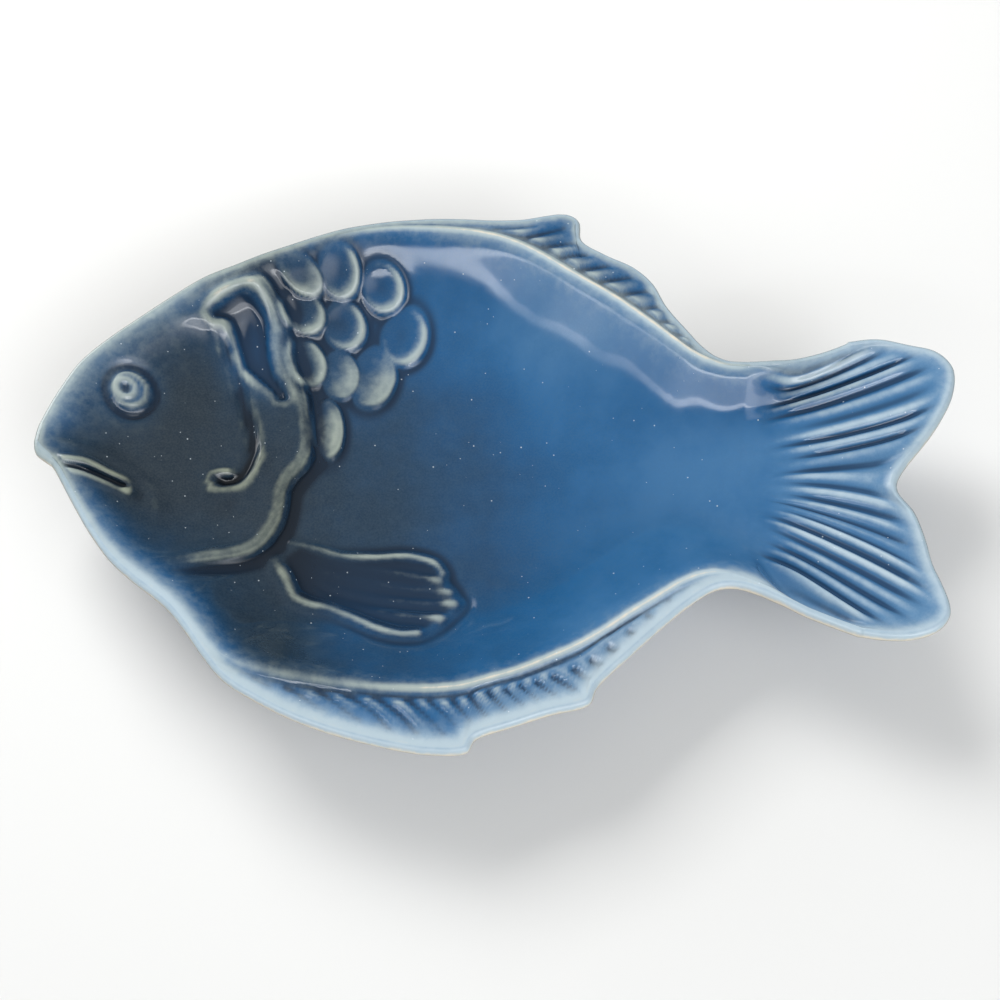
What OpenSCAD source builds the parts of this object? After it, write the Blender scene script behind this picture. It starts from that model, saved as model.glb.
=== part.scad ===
// Serving dish in the shape of a fish, pressed in clay, with a foot ring luted underneath and a fired
// coat of glaze on the face and on the back.
// The nose points to -X, the back fin to +Y, and the dish stands on its foot ring at z = 0.

/* [Dish] */
// Overall length from the nose to the tips of the tail
length = 305; // [240:1:380]
// Overall width across the fins
width = 200; // [160:1:250]
// Height of the rim amidships above the table
rim_height = 37; // [32:0.5:48]
// How far the rim sweeps up from amidships to the tips of the tail
rim_sweep = 4; // [0:0.5:8]
// Thickness of the clay, measured square to the surface
clay_wall = 5.5; // [4:0.25:8]
// Thickness of the rounded edge of the rim
rim_edge = 4.4; // [3:0.2:6]
// Thickness of the fired glaze
glaze = 0.4; // [0.3:0.05:0.8]
// Plan width of the sloping wall amidships
wall_reach = 40; // [32:1:47]
// Roundness of the crest of the rim
crest_round = 3; // [1:0.25:5]

/* [Foot] */
// Length of the oval foot ring
foot_length = 120; // [90:1:140]
// Width of the oval foot ring
foot_width = 72; // [50:1:84]
// Thickness of the foot ring's wall
foot_wall = 5; // [3:0.5:8]
// Height of the foot ring
foot_height = 4; // [3:0.25:7]
// How far the foot ring's middle lies towards the nose
foot_set_back = 2; // [0:0.5:8]
// Flat clay left outside the foot ring, where the back glaze stops
foot_margin = 1.5; // [1:0.25:3]

/* [Head] */
// Radius of the eye over its outer ring
eye_radius = 7; // [5:0.25:9]
// Height of the eye
eye_rise = 2.8; // [1:0.1:4]
// Depth of the mouth slit
mouth_depth = 2; // [1:0.1:3]
// Distance from the slit to the outside of a lip
lip_reach = 4.2; // [3:0.1:6]
// Height of the gill cover's edge above the body behind it
gill_step = 3; // [1.5:0.1:4.5]
// Width of the step behind the gill cover
gill_reach = 5; // [3:0.25:7]
// Swell of the cheek
cheek_rise = 1.6; // [0:0.1:3]
// Radius of that swell
cheek_radius = 20; // [14:1:26]
// Depth of the crease round the cheek
crease_depth = 1.8; // [0.8:0.1:3]
// Distance from the crease to the outside of its ridges
crease_reach = 5; // [3:0.25:7]
// Depth of the gill slot
slot_depth = 2.4; // [1:0.1:3.5]

/* [Scales and fins] */
// Height of a scale
scale_rise = 2.7; // [1:0.1:3.5]
// Half length of a full scale
scale_length = 15; // [11:0.5:18]
// Half width of a full scale
scale_width = 10; // [7:0.25:12]
// Depth of the groove round the scales
scale_groove = 0.7; // [0:0.1:1.2]
// Height of the ridges on the side fin
side_fin_rise = 2.7; // [1:0.1:3.5]
// Length of the side fin
side_fin_length = 61; // [48:1:66]
// Spread of the side fin
side_fin_spread = 31; // [24:1:34]
// Half width of a ridge on the side fin
side_fin_ridge = 4; // [2.5:0.25:5.5]
// Width over which a full fin droops
fin_full = 15; // [10:0.5:19]
// Height of a ray in the back and belly fins
ray_rise = 0.8; // [0.3:0.1:1.6]
// How far the back and belly fins droop from the crest of the rim to their edge
fin_droop = 2; // [0:0.25:4]
// Width of the groove between the crest and a fin
groove_width = 3; // [2:0.25:5]
// Depth of that groove
groove_depth = 1.6; // [0.6:0.1:2.6]
// Height of a rib in the tail
rib_rise = 1.1; // [0.4:0.1:1.8]

/* [Hidden] */

edge_round = rim_edge / 2;
floor_height = foot_height + clay_wall;
// A spacing finer than any detail, to keep a division from failing
fine = width / 200;

// Sections of the dish from the nose to the root of the tail. Each row holds the upper edge, the upper
// crest, the lower crest and the lower edge, as x in shares of the length and y in shares of the width,
// then the bow of the section towards the tail as a share of the length. In the fins each row is a ray.
section_shares = [
    [[-.4975, .022], [-.489, .020], [-.487, -.030], [-.495, -.040], 0],
    [[-.487, .077], [-.478, .070], [-.475, -.045], [-.480, -.056], 0],
    [[-.470, .137], [-.461, .129], [-.462, -.067], [-.472, -.066], 0],
    [[-.444, .186], [-.437, .176], [-.439, -.117], [-.447, -.121], 0],
    [[-.413, .233], [-.406, .221], [-.414, -.165], [-.422, -.173], .013],
    [[-.382, .278], [-.375, .266], [-.390, -.207], [-.396, -.218], .043],
    [[-.349, .321], [-.343, .309], [-.365, -.238], [-.371, -.249], .085],
    [[-.316, .350], [-.312, .337], [-.340, -.264], [-.346, -.275], .111],
    [[-.286, .376], [-.283, .362], [-.319, -.288], [-.325, -.299], .102],
    [[-.256, .398], [-.253, .384], [-.297, -.322], [-.305, -.331], .092],
    [[-.227, .419], [-.223, .404], [-.274, -.355], [-.284, -.369], .079],
    [[-.197, .438], [-.194, .421], [-.248, -.375], [-.260, -.405], .064],
    [[-.164, .452], [-.162, .434], [-.217, -.387], [-.228, -.432], .048],
    [[-.131, .463], [-.131, .441], [-.184, -.395], [-.190, -.457], .031],
    [[-.095, .471], [-.098, .443], [-.151, -.400], [-.149, -.476], .016],
    [[-.056, .474], [-.066, .443], [-.118, -.404], [-.105, -.490], .007],
    [[-.020, .475], [-.034, .439], [-.085, -.405], [-.067, -.4985], 0],
    [[.013, .481], [-.005, .429], [-.054, -.403], [-.038, -.5], 0],
    [[.041, .494], [.023, .411], [-.025, -.397], [-.015, -.494], 0],
    [[.066, .5], [.049, .388], [.003, -.383], [-.005, -.472], 0],
    [[.083, .484], [.075, .362], [.033, -.367], [.031, -.451], 0],
    [[.087, .442], [.100, .339], [.062, -.346], [.066, -.431], 0],
    [[.115, .414], [.125, .315], [.090, -.324], [.102, -.414], 0],
    [[.148, .390], [.149, .288], [.118, -.296], [.113, -.382], 0],
    [[.171, .356], [.172, .261], [.144, -.266], [.146, -.331], 0],
    [[.187, .308], [.193, .235], [.171, -.237], [.175, -.288], 0],
    [[.208, .264], [.213, .211], [.197, -.210], [.203, -.250], 0],
    [[.228, .225], [.231, .197], [.223, -.194], [.230, -.221], 0],
    [[.251, .202], [.251, .187], [.249, -.194], [.253, -.215], 0],
    [[.2755, .199], [.2755, .185], [.2755, -.208], [.2755, -.225], 0]];
// Facets between one section and the next
section_steps = [1, 2, 2, 3, 4, 4, 4, 3, 2, 2, 3, 3, 2, 2, 2,
    2, 2, 2, 2, 2, 2, 2, 2, 2, 2, 2, 2, 1, 1];
// The first sections that carry rays: in the belly fin and in the back fin
belly_ray_first = 11;
back_ray_first = 16;
// How a bowed section runs from its lower crest to its upper crest
bow_shares = [[0, 0], [.1, .36], [.2, .7], [.32, .86], [.42, .92], [.5, 1], [.58, .95], [.7, .77], [.8, .6],
    [.92, .38], [1, 0]];
nose_shares = [-.5, -.010];
// Places of the points across a section, from its lower crest to its upper crest. Each row starts with
// the first section that it serves: tip of the snout, eye and mouth, cheek, side fin with scales, and side
// fin. A row in two parts takes the lines of the side fin between them. The plain bowl's points follow
// its wall instead, from each crest to just past the foot of the wall, within half of the section.
line_shares = [
    [1, [0, .1, .2, .26, .31, .36, .42, .5, .58, .66, .74, .82, .91, 1]],
    [2.3, [0, .05, .1, .15, .19, .22, .25, .28, .32, .38, .46, .53, .58, .61, .64, .67, .7, .73, .76,
        .8, .86, .93, 1]],
    [5.1, [0, .03, .09, .15, .21, .27, .33, .39, .45, .51, .57, .62, .66, .7, .74, .78, .83, .88, .94, 1]],
    [7.4, [0, .03, .065], [.38, .46, .53, .58, .61, .64, .67, .7, .725, .75, .775, .8, .83, .86, .89,
        .93, .965, 1]],
    [14.3, [0, .03, .065], [.38, .5, .64, .78, .87, .93, .97, 1]]];
plain_first = 17.4;
wall_line_shares = [0, .09, .22, .42, .7, 1.12];
most_share = .43;

// Ribs of the tail: where each leaves the root, the point that it bends towards, and its end
rib_shares = [
    [-.225, [.334, -.267], [.377, -.290]],
    [-.140, [.318, -.160], [.398, -.294]],
    [-.112, [.328, -.142], [.424, -.2935]],
    [-.086, [.340, -.130], [.451, -.280]],
    [-.060, [.342, -.102], [.466, -.250]],
    [-.040, [.348, -.074], [.461, -.206]],
    [-.032, [.352, -.062], [.453, -.170]],
    [-.024, [.360, -.050], [.449, -.127]],
    [-.012, [.360, -.018], [.440, -.076]],
    [0, [.365, .010], [.424, -.030]],
    [.020, [.370, .026], [.463, .050]],
    [.045, [.385, .052], [.481, .092]],
    [.071, [.386, .080], [.495, .135]],
    [.098, [.384, .112], [.5, .186]],
    [.124, [.368, .142], [.482, .221]],
    [.148, [.362, .167], [.455, .233]],
    [.170, [.350, .186], [.420, .247]],
    [.199, [.341, .203], [.388, .241]]];
// Places along a rib, and how far its relief has risen there
rib_rise_shares = [[0, 0], [.2, .15], [.4, .6], [.6, .95], [.8, 1], [1, .6]];
// How far a rib stands over the tail, and how far the valley beside it lies below
rib_height_shares = [.75, -1.1];

// Height of the floor along the dish, from 0 on the flat floor to 1 at the rim
floor_shares = [[-.5, .98], [-.48, .84], [-.452, .72], [-.41, .60], [-.328, .40], [-.23, .22],
    [-.18, .13], [-.13, .05], [-.033, 0], [.131, 0], [.19, .09], [.246, .30], [.312, .58], [.394, .80],
    [.46, .92], [.5, 1]];
// Height of the rim along the dish, from 0 amidships to 1 at the tips of the tail
sweep_shares = [[-.5, .62], [-.2, .35], [.1, .08], [.246, -.3], [.394, .25], [.5, 1]];
// Width of the wall along the dish
wall_shares = [[-.5, .28], [-.46, .37], [-.394, .51], [-.31, .7], [-.2, .93], [-.1, 1], [.131, 1],
    [.213, .74], [.262, .51], [.328, .35], [.5, .28]];
// Power of the wall's curve, and how much thicker straight down the steepest wall is
wall_power = 1.8;
lean_share = .56;

// Places on the face, as shares of the length and the width
eye_shares = [-.4144, .1025];
cheek_shares = [-.354, .06];
mouth_shares = [[-.480, -.064], [-.453, -.059], [-.430, -.060], [-.400, -.074]];
crease_shares = [[-.331, .250], [-.319, .210], [-.308, .171], [-.298, .127], [-.289, .094], [-.281, .055],
    [-.279, .021], [-.284, -.012], [-.293, -.029], [-.310, -.035]];
slot_shares = [[-.308, .286], [-.290, .250], [-.274, .200], [-.256, .150]];
slot_width_shares = [1, .85, .6, .28];
slot_half = slot_depth * 2.2;
gill_shares = [[-.351, .280], [-.328, .310], [-.305, .330], [-.282, .320], [-.266, .290], [-.256, .255],
    [-.252, .220], [-.246, .192], [-.234, .160], [-.226, .120], [-.220, .075], [-.217, .042], [-.221, .012],
    [-.233, -.015], [-.239, -.040], [-.239, -.075], [-.243, -.107], [-.254, -.145], [-.272, -.167],
    [-.298, -.182], [-.328, -.200], [-.351, -.215]];
// Scales: place, half length and half width as shares of a full scale, and lean in degrees
scale_shares = [
    [-.2410, .350, .44, .96, -25],
    [-.1974, .365, .63, .84, -6],
    [-.2380, .296, .53, .92, -18],
    [-.1908, .287, .63, .88, 4],
    [-.2308, .210, .72, .82, 20],
    [-.1921, .198, .75, .82, 8],
    [-.2052, .0875, .93, .72, 10],
    [-.1541, .200, .97, .96, -6],
    [-.1475, .354, .59, .92, -4],
    [-.1193, .282, .83, .98, -18]];
// How a scale lies: its height at the middle, its rise towards the tail and the belly, its dimple's depth,
// and how many times narrower than the scale the dimple is
scale_lie_shares = [.56, .38, -.18, .24, 2.4];
// The side fin: its root, then each ridge's root, bend and tip, as shares of its length and its spread
side_fin_shares = [-.2377, -.165];
side_fin_ridge_shares = [
    [[.07, .20], [.45, .13], [.91, 0]],
    [[.17, .06], [.5, -.03], [.89, -.12]],
    [[.20, -.05], [.53, -.19], [.95, -.25]],
    [[.20, -.15], [.5, -.37], [.98, -.38]],
    [[.17, -.24], [.45, -.57], [.92, -.57]],
    [[0, -.03], [.17, -.65], [.80, -.81]]];
// How the ridges lie at the root: which one is level with it, and the gap from one to the next
root_middle = 3;
root_gap_share = .04;
// Where on a section the search for a ridge starts, the band that the ridges keep to, and their least gap
start_share = .2;
side_fin_band = [.072, .37];
least_share = .004;
// Stretches of the length in which each kind of relief lies
snout_stretch_shares = [-.5, -.38];
cheek_stretch_shares = [-.38, -.2];
gill_stretch_shares = [-.42, -.16];
scale_stretch_shares = [-.27, -.06];
side_fin_stretch_shares = [-.26, -.02];

// Cross-sections of the raised and sunk lines: distance from the line against height
eye_profile_shares = [[0, .72], [.2, .8], [.31, 1], [.42, .8], [.62, .72], [.84, .9], [1, .2], [1.12, -.28],
    [1.35, 0]];
mouth_profile_shares = [[0, -1], [.2, -.75], [.42, .35], [.6, .6], [.8, .3], [1, 0]];
crease_profile_shares = [[-1, 0], [-.5, .3], [-.2, -.2], [0, -1], [.22, -.3], [.5, .45], [1, 0]];
slot_profile_shares = [[-1, -1], [-.35, -.85], [0, -.2], [.4, .2], [1, 0]];
gill_profile_shares = [[-4, 0], [-2, .45], [-.8, .75], [-.25, 1], [0, .95], [.3, .5], [.7, .02], [1, -.06],
    [1.6, 0]];
scale_profile_shares = [[0, .8], [.5, .88], [.7, 1], [.85, .75], [1, .12], [1.1, 0]];
scale_groove_shares = [[1, 0], [1.15, 1], [1.45, 0]];
side_fin_profile_shares = [[0, 1], [.3, .85], [.6, .42], [.85, .12], [1.1, 0]];

// Steps between two values, and a smooth curve through a row of points
function mix(a, b, t) = a + (b - a) * t;
function clamp(t) = min(1, max(0, t));
function curve(p, i, t) =
    let (a = p[max(0, i - 1)], b = p[i], c = p[i + 1], d = p[min(len(p) - 1, i + 2)])
    b + t * ((c - a) / 2 + t * (a - 2.5 * b + 2 * c - d / 2 + t * (1.5 * (b - c) + (d - a) / 2)));
function bend(r, t) = mix(mix(r[0], r[1], t), mix(r[1], r[2], t), t);
function place(p) = [p[0] * length, p[1] * width];
function places(row) = [for (p = row) place(p)];
function along(p, table) = lookup(p[0] / length, table);

// Nearest distance from a point to a line of points, and the same with the side that it lies on
function foot_of(p, a, b) = clamp((p - a) * (b - a) / ((b - a) * (b - a)));
function gap(p, line) = min([for (i = [1 : len(line) - 1])
    norm(p - mix(line[i - 1], line[i], foot_of(p, line[i - 1], line[i])))]);
function side_gap(p, line) =
    let (gaps = [for (i = [1 : len(line) - 1])
            norm(p - mix(line[i - 1], line[i], foot_of(p, line[i - 1], line[i])))],
        least = min(gaps),
        i = search(least, gaps)[0],
        run = line[i + 1] - line[i],
        off = p - line[i])
    least * sign(run[0] * off[1] - run[1] * off[0]);

upper_crest = [for (row = section_shares) place(row[1])];
lower_crest = [for (row = section_shares) place(row[2])];
crest = concat([for (i = [len(lower_crest) - 1 : -1 : 0]) lower_crest[i]], upper_crest);
tail_crest = [for (k = [0, 1])
    let (rib = k == 0 ? rib_shares[0] : rib_shares[len(rib_shares) - 1],
        root = place(section_shares[len(section_shares) - 1][k == 0 ? 2 : 1]))
    concat([root], [for (p = [rib[1], rib[2]]) place(p) * .985])];

// Height of the plain dish, without its relief
function rim_at(p) = rim_height + rim_sweep * along(p, sweep_shares);
function floor_at(p) = mix(floor_height, rim_at(p), along(p, floor_shares));
function wall_gap(p) = min(gap(p, crest), gap(p, tail_crest[0]), gap(p, tail_crest[1]));
function bowl(p, away) =
    let (t = clamp((norm([away, crest_round]) - crest_round) / (wall_reach * along(p, wall_shares))))
    mix(floor_at(p), rim_at(p), pow(1 - t, wall_power));

// Relief of the face
eye = place(eye_shares);
mouth = places(mouth_shares);
crease = places(crease_shares);
slot = places(slot_shares);
gill = places(gill_shares);
side_fin = place(side_fin_shares);
function bell(t) = exp(-t * t);
function eye_relief(p) = eye_rise * lookup(norm(p - eye) / eye_radius, eye_profile_shares);
function mouth_relief(p) = mouth_depth * lookup(gap(p, mouth) / lip_reach, mouth_profile_shares);
function crease_relief(p) = crease_depth * lookup(side_gap(p, crease) / crease_reach, crease_profile_shares)
    + cheek_rise * bell(norm(p - place(cheek_shares)) / cheek_radius);
function slot_relief(p) =
    let (edge = min([for (i = [1 : len(slot) - 1])
        let (t = foot_of(p, slot[i - 1], slot[i]))
        norm(p - mix(slot[i - 1], slot[i], t))
            - slot_half * mix(slot_width_shares[i - 1], slot_width_shares[i], t)]))
    slot_depth * lookup(edge / slot_half, slot_profile_shares);
function gill_relief(p) = gill_step * lookup(side_gap(p, gill) / gill_reach, gill_profile_shares);
function scale_at(p, s) =
    let (off = p - place(s),
        u = (off[0] * cos(s[4]) + off[1] * sin(s[4])) / (s[3] * scale_width),
        v = (off[1] * cos(s[4]) - off[0] * sin(s[4])) / (s[2] * scale_length),
        reach = norm([u, v]),
        lie = scale_lie_shares)
    [lookup(reach, scale_profile_shares)
        * (lie[0] + lie[1] * u + lie[2] * v - lie[3] * bell(reach * lie[4])), reach];
function scale_relief(p) =
    let (near = [for (s = scale_shares) scale_at(p, s)],
        least = min([for (n = near) n[1]]))
    scale_rise * max([for (n = near) n[0]])
        - scale_groove * (least < 1 ? 0 : lookup(least, scale_groove_shares));
function fin_place(p) = side_fin + [p[0] * side_fin_length, p[1] * side_fin_spread];
side_fin_ridges = [for (row = side_fin_ridge_shares)
    let (r = [for (p = row) fin_place(p)])
    [for (t = [0 : .2 : 1]) bend(r, t)]];
// The same ridges with their way back to the root of the side fin, which the lines across it follow
side_fin_ways = [for (k = [0 : len(side_fin_ridges) - 1])
    concat([side_fin + [0, (root_middle - k) * root_gap_share * side_fin_spread]],
        [for (p = side_fin_ridges[k]) if (p[0] > side_fin[0] + side_fin_ridge) p])];
function side_fin_relief(p) =
    let (near = min([for (line = side_fin_ridges) gap(p, line)]))
    side_fin_rise * lookup(near / side_fin_ridge, side_fin_profile_shares);

function within(x, stretch) = x > stretch[0] && x < stretch[1];
function face(p) =
    let (away = wall_gap(p),
        still = clamp(away / (edge_round * 1.5)),
        x = p[0] / length)
    bowl(p, away) + still * (
        (within(x, snout_stretch_shares) ? eye_relief(p) + mouth_relief(p) : 0)
        + (within(x, cheek_stretch_shares) ? crease_relief(p) + (p[1] > 0 ? slot_relief(p) : 0) : 0)
        + (within(x, gill_stretch_shares) ? gill_relief(p) : 0)
        + (p[1] > 0 && within(x, scale_stretch_shares) ? scale_relief(p) : 0)
        + (p[1] < 0 && within(x, side_fin_stretch_shares) ? side_fin_relief(p) : 0));

// The outline runs from the nose along the lower edge, up the end of the tail and back along the upper edge
last = len(section_shares) - 1;
function section(i, t) = [for (k = [0 : 3]) place(curve([for (row = section_shares) row[k]], i, t))];
stations = concat([for (i = [0 : last - 1], n = [0 : section_steps[i] - 1]) [i, n / section_steps[i]]],
    [[last - 1, 1]]);
cuts = [for (s = stations) section(s[0], s[1])];
function rib(k) =
    let (i = floor(k / 2), a = rib_shares[i], b = rib_shares[min(i + 1, len(rib_shares) - 1)], t = k % 2 / 2)
    [[section_shares[last][0][0], mix(a[0], b[0], t)], mix(a[1], b[1], t),
        k % 2 == 0 ? a[2] : curve([for (r = rib_shares) r[2]], i, t)];
ribs = [for (k = [0 : 2 * len(rib_shares) - 2]) places(rib(k))];
upper_end = len(ribs) - 1;
rib_rows = len(rib_rise_shares) - 1;
tail_steps = [for (n = [1 : rib_rows]) rib_rise_shares[n][0]];

outline = concat([for (c = cuts) c[3]],
    [for (t = tail_steps) bend(ribs[0], t)],
    [for (k = [1 : upper_end - 1]) ribs[k][2]],
    [for (n = [rib_rows - 1 : -1 : 0]) bend(ribs[upper_end], tail_steps[n])],
    [for (i = [len(cuts) - 1 : -1 : 0]) cuts[i][0]],
    [place(nose_shares)]);
count = len(outline);
function outward(i) =
    let (run = outline[(i + 1) % count] - outline[(i + count - 1) % count])
    [run[1], -run[0]] / norm(run);
outs = [for (i = [0 : count - 1]) outward(i)];
inner = [for (i = [0 : count - 1]) outline[i] - edge_round * outs[i]];

// Height across a fin, from 0 at its edge to 1 at the crest
function fin_height(p, wide, t, ray) =
    let (full = clamp(wide / fin_full), groove = 1 - groove_width / max(wide, 2 * groove_width))
    rim_at(p) - full * (fin_droop * (1 - t)
        + (t < 1 ? groove_depth * max(0, 1 - abs(t - groove) * wide / groove_width) : 0)
        - ray_rise * ray * min(1, 3 * t) * clamp((groove - t) * 4));

// One row of points across the dish
function across(c, b, t) = mix(c[2], c[1], t) + [b * length * lookup(t, bow_shares), 0];
function ridge_share(c, b, line, t, tries) = tries == 0 ? t
    : let (y = lookup(across(c, b, t)[0], line))
        ridge_share(c, b, line, (y - c[2][1]) / (c[1][1] - c[2][1]), tries - 1);
function fin_lines(c, b) =
    let (last_ridge = len(side_fin_ways) - 1,
        r = [for (k = [0 : last_ridge])
            let (t = ridge_share(c, b, side_fin_ways[k], start_share, 4),
                least = side_fin_band[0] + (last_ridge + 1 - k) * least_share,
                most = side_fin_band[1] - (k + 1) * least_share)
            min(most, max(least, t))],
        foot = side_fin_ridge / (c[1][1] - c[2][1]))
    concat([max(side_fin_band[0], r[last_ridge] - foot)],
        [for (k = [2 * last_ridge : -1 : 0]) mix(r[floor(k / 2)], r[ceil(k / 2)], .5)],
        [min(side_fin_band[1], r[0] + foot)]);
function wall_lines(c) =
    let (share = min(most_share, wall_reach * along(mix(c[1], c[2], .5), wall_shares) / norm(c[1] - c[2])))
    concat([for (t = wall_line_shares) t * share],
        [for (k = [len(wall_line_shares) - 1 : -1 : 0]) 1 - wall_line_shares[k] * share]);
function lines(at, c, b) =
    let (serving = [for (row = line_shares) if (at >= row[0]) row],
        row = serving[len(serving) - 1])
    at >= plain_first ? wall_lines(c)
        : len(row) < 3 ? row[1]
        : concat(row[1], fin_lines(c, b), row[2]);
function fin_points(edge, top, ray) =
    let (wide = norm(top - edge))
    [for (t = wide < 3 * groove_width ? [0] : [0, .4, 1 - 2 * groove_width / wide, 1 - groove_width / wide])
        let (p = mix(edge, top, t))
        [p[0], p[1], fin_height(p, wide, t, ray)]];
function body_row(n) =
    let (s = stations[n],
        c = cuts[n],
        b = curve([for (row = section_shares) row[4]], s[0], s[1]),
        low = inner[n],
        high = inner[count - 2 - n],
        ray = cos(360 * s[1]),
        upper = fin_points(high, c[1], s[0] < back_ray_first ? 0 : ray))
    concat(fin_points(low, c[2], s[0] < belly_ray_first ? 0 : ray),
        [for (t = lines(s[0] + s[1], c, b)) let (p = across(c, b, t)) [p[0], p[1], face(p)]],
        [for (k = [len(upper) - 1 : -1 : 0]) upper[k]]);
function tail_row(n) =
    let (t = n == 0 ? 0 : tail_steps[n - 1])
    [for (k = [0 : upper_end])
        let (r = ribs[k],
            p = k == 0 ? inner[len(cuts) + n - 1]
                : k == upper_end ? inner[count - 1 - len(cuts) - n]
                : bend([r[0], r[1], inner[len(cuts) + rib_rows - 1 + k]], t),
            side = k == 0 || k == upper_end || n == rib_rows)
        [p[0], p[1], side ? rim_at(p)
            : bowl(p, wall_gap(p)) + rib_rise * lookup(t, rib_rise_shares) * rib_height_shares[k % 2]]];
nose = inner[count - 1];
face_rows = concat(
    [[for (p = [inner[0], nose, inner[count - 2]]) [p[0], p[1], rim_at(p)]]],
    [for (n = [1 : len(cuts) - 2]) body_row(n)],
    [for (n = [0 : rib_rows]) tail_row(n)]);

// Joins two rows of points with triangles, always across the shorter diagonal
function forward(a, b, i, j) = j == len(b) - 1 || i < len(a) - 1
    && (len(a) == len(b) && i != j ? i < j : norm(a[i + 1] - b[j]) <= norm(b[j + 1] - a[i]));
function lace(a, b, ia, ib) =
    [for (i = 0, j = 0, f = forward(a, b, 0, 0);
        i + j < len(a) + len(b) - 2;
        i = i + (f ? 1 : 0), j = j + (f ? 0 : 1), f = forward(a, b, i, j))
        f ? [ia[i], ia[i + 1], ib[j]] : [ia[i], ib[j + 1], ib[j]]];
function ring(list) = concat(list, [list[0]]);
function turned(faces) = [for (f = faces) [f[0], f[2], f[1]]];
function shifted(faces, by) = [for (f = faces) [for (i = f) i + by]];

// The face: its points, its triangles and the ring of points along its edge
rows = len(face_rows);
starts = [for (i = 0, n = 0; i < rows; n = n + len(face_rows[i]), i = i + 1) n];
face_points = [for (r = face_rows) each r];
face_count = len(face_points);
face_ring = concat(starts,
    [for (k = [1 : upper_end - 1]) starts[rows - 1] + k],
    [for (r = [rows - 1 : -1 : 0]) starts[r] + len(face_rows[r]) - 1],
    [1]);
face_mesh = [for (r = [1 : rows - 1])
    each lace(face_rows[r - 1], face_rows[r],
        [for (k = [0 : len(face_rows[r - 1]) - 1]) starts[r - 1] + k],
        [for (k = [0 : len(face_rows[r]) - 1]) starts[r] + k])];

// The widest line of the rim, then rings under the dish from the rim in to the pad that carries the foot
edge_ring = [for (i = [0 : count - 1])
    [outline[i][0], outline[i][1], face_points[face_ring[i]][2] - edge_round]];
under_places = [for (i = [0 : 2 : count - 1]) i];
under_count = len(under_places);
lower_last = len(cuts) + rib_rows - 1;
upper_first = lower_last + upper_end;
function turn_of(i) = acos(clamp(outline[i][0] / length * .97 + .5) * 2 - 1);
function pad_turn(i) = i == count - 1 ? 180
    : i <= lower_last ? -turn_of(i)
    : i >= upper_first ? turn_of(i)
    : mix(-turn_of(lower_last), turn_of(upper_first), (i - lower_last) / upper_end);
function oval(turn, long, wide) = [long / 2 * cos(turn) - foot_set_back, wide / 2 * sin(turn)];
pad_length = foot_length + 2 * foot_margin;
pad_width = foot_width + 2 * foot_margin;
waist_share = .45;
under_shares = [.13, .34, .64];
function inward(i, t) =
    let (a = inner[i], c = oval(pad_turn(i), pad_length, pad_width))
    bend([a, [mix(a[0], c[0], .5), a[1] * waist_share], c], t);
function beyond(p) = max(0, p[1] - lookup(p[0], upper_crest), lookup(p[0], lower_crest) - p[1]);
function under(p) =
    let (out = p[0] < crest[0][0] ? beyond(p) : 0,
        top = out > 0 ? rim_at(p) - fin_droop * clamp(out / fin_full) : bowl(p, wall_gap(p)),
        steep = clamp((top - floor_at(p)) / max(rim_at(p) - floor_at(p), fine)))
    max(foot_height, top - clay_wall * (1 + lean_share * steep));
under_rings = concat(
    [[for (i = under_places) [inner[i][0], inner[i][1], face_points[face_ring[i]][2] - rim_edge]]],
    [for (t = under_shares) [for (i = under_places) let (p = inward(i, t)) [p[0], p[1], under(p)]]],
    [[for (i = under_places) let (p = oval(pad_turn(i), pad_length, pad_width)) [p[0], p[1], foot_height]]]);

function ring_index(start, n) = ring([for (k = [0 : n - 1]) start + k]);
function rim_mesh(edge_start, face_index) =
    turned(lace(ring(edge_ring), ring([for (i = face_ring) face_points[i]]),
        ring_index(edge_start, count), ring(face_index)));
function back_mesh(edge_start, under_starts) = concat(
    lace(ring(edge_ring), ring(under_rings[0]), ring_index(edge_start, count),
        ring_index(under_starts[0], under_count)),
    [for (r = [1 : len(under_rings) - 1])
        each lace(ring(under_rings[r - 1]), ring(under_rings[r]),
            ring_index(under_starts[r - 1], under_count), ring_index(under_starts[r], under_count))]);
function ring_starts(start) = [for (r = [0 : len(under_rings) - 1]) start + r * under_count];

// The glaze inside the foot ring is a thin plate of its own
plate_turns = [0 : 10 : 350];
plate_length = foot_length - 2 * (foot_wall + glaze);
plate_width = foot_width - 2 * (foot_wall + glaze);
function plate_mesh(start) =
    let (n = len([for (turn = plate_turns) turn]))
    concat([[for (k = [n - 1 : -1 : 0]) start + k], [for (k = [0 : n - 1]) start + n + k]],
        [for (k = [0 : n - 1]) [start + k, start + (k + 1) % n, start + n + (k + 1) % n, start + n + k]]);

module clay_body() {
    under_starts = ring_starts(face_count + count);
    color("cornsilk")
    polyhedron(
        concat(face_points, edge_ring, [for (r = under_rings) each r]),
        concat(face_mesh, rim_mesh(face_count, face_ring), back_mesh(face_count, under_starts),
            [[for (k = [0 : under_count - 1]) under_starts[len(under_rings) - 1] + k]]));
}
module foot_ring() {
    foot_turns = [0 : 7.5 : 352.5];
    color("wheat")
    linear_extrude(foot_height)
    difference() {
        polygon([for (turn = foot_turns) oval(turn, foot_length, foot_width)]);
        polygon([for (turn = foot_turns)
            oval(turn, foot_length - 2 * foot_wall, foot_width - 2 * foot_wall)]);
    }
}
module face_glaze() {
    color("steelblue")
    polyhedron(
        concat(face_points, edge_ring, [for (p = face_points) p + [0, 0, glaze]]),
        concat(turned(face_mesh), turned(rim_mesh(face_count, face_ring)),
            shifted(face_mesh, face_count + count),
            rim_mesh(face_count, [for (i = face_ring) face_count + count + i])));
}
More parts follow.
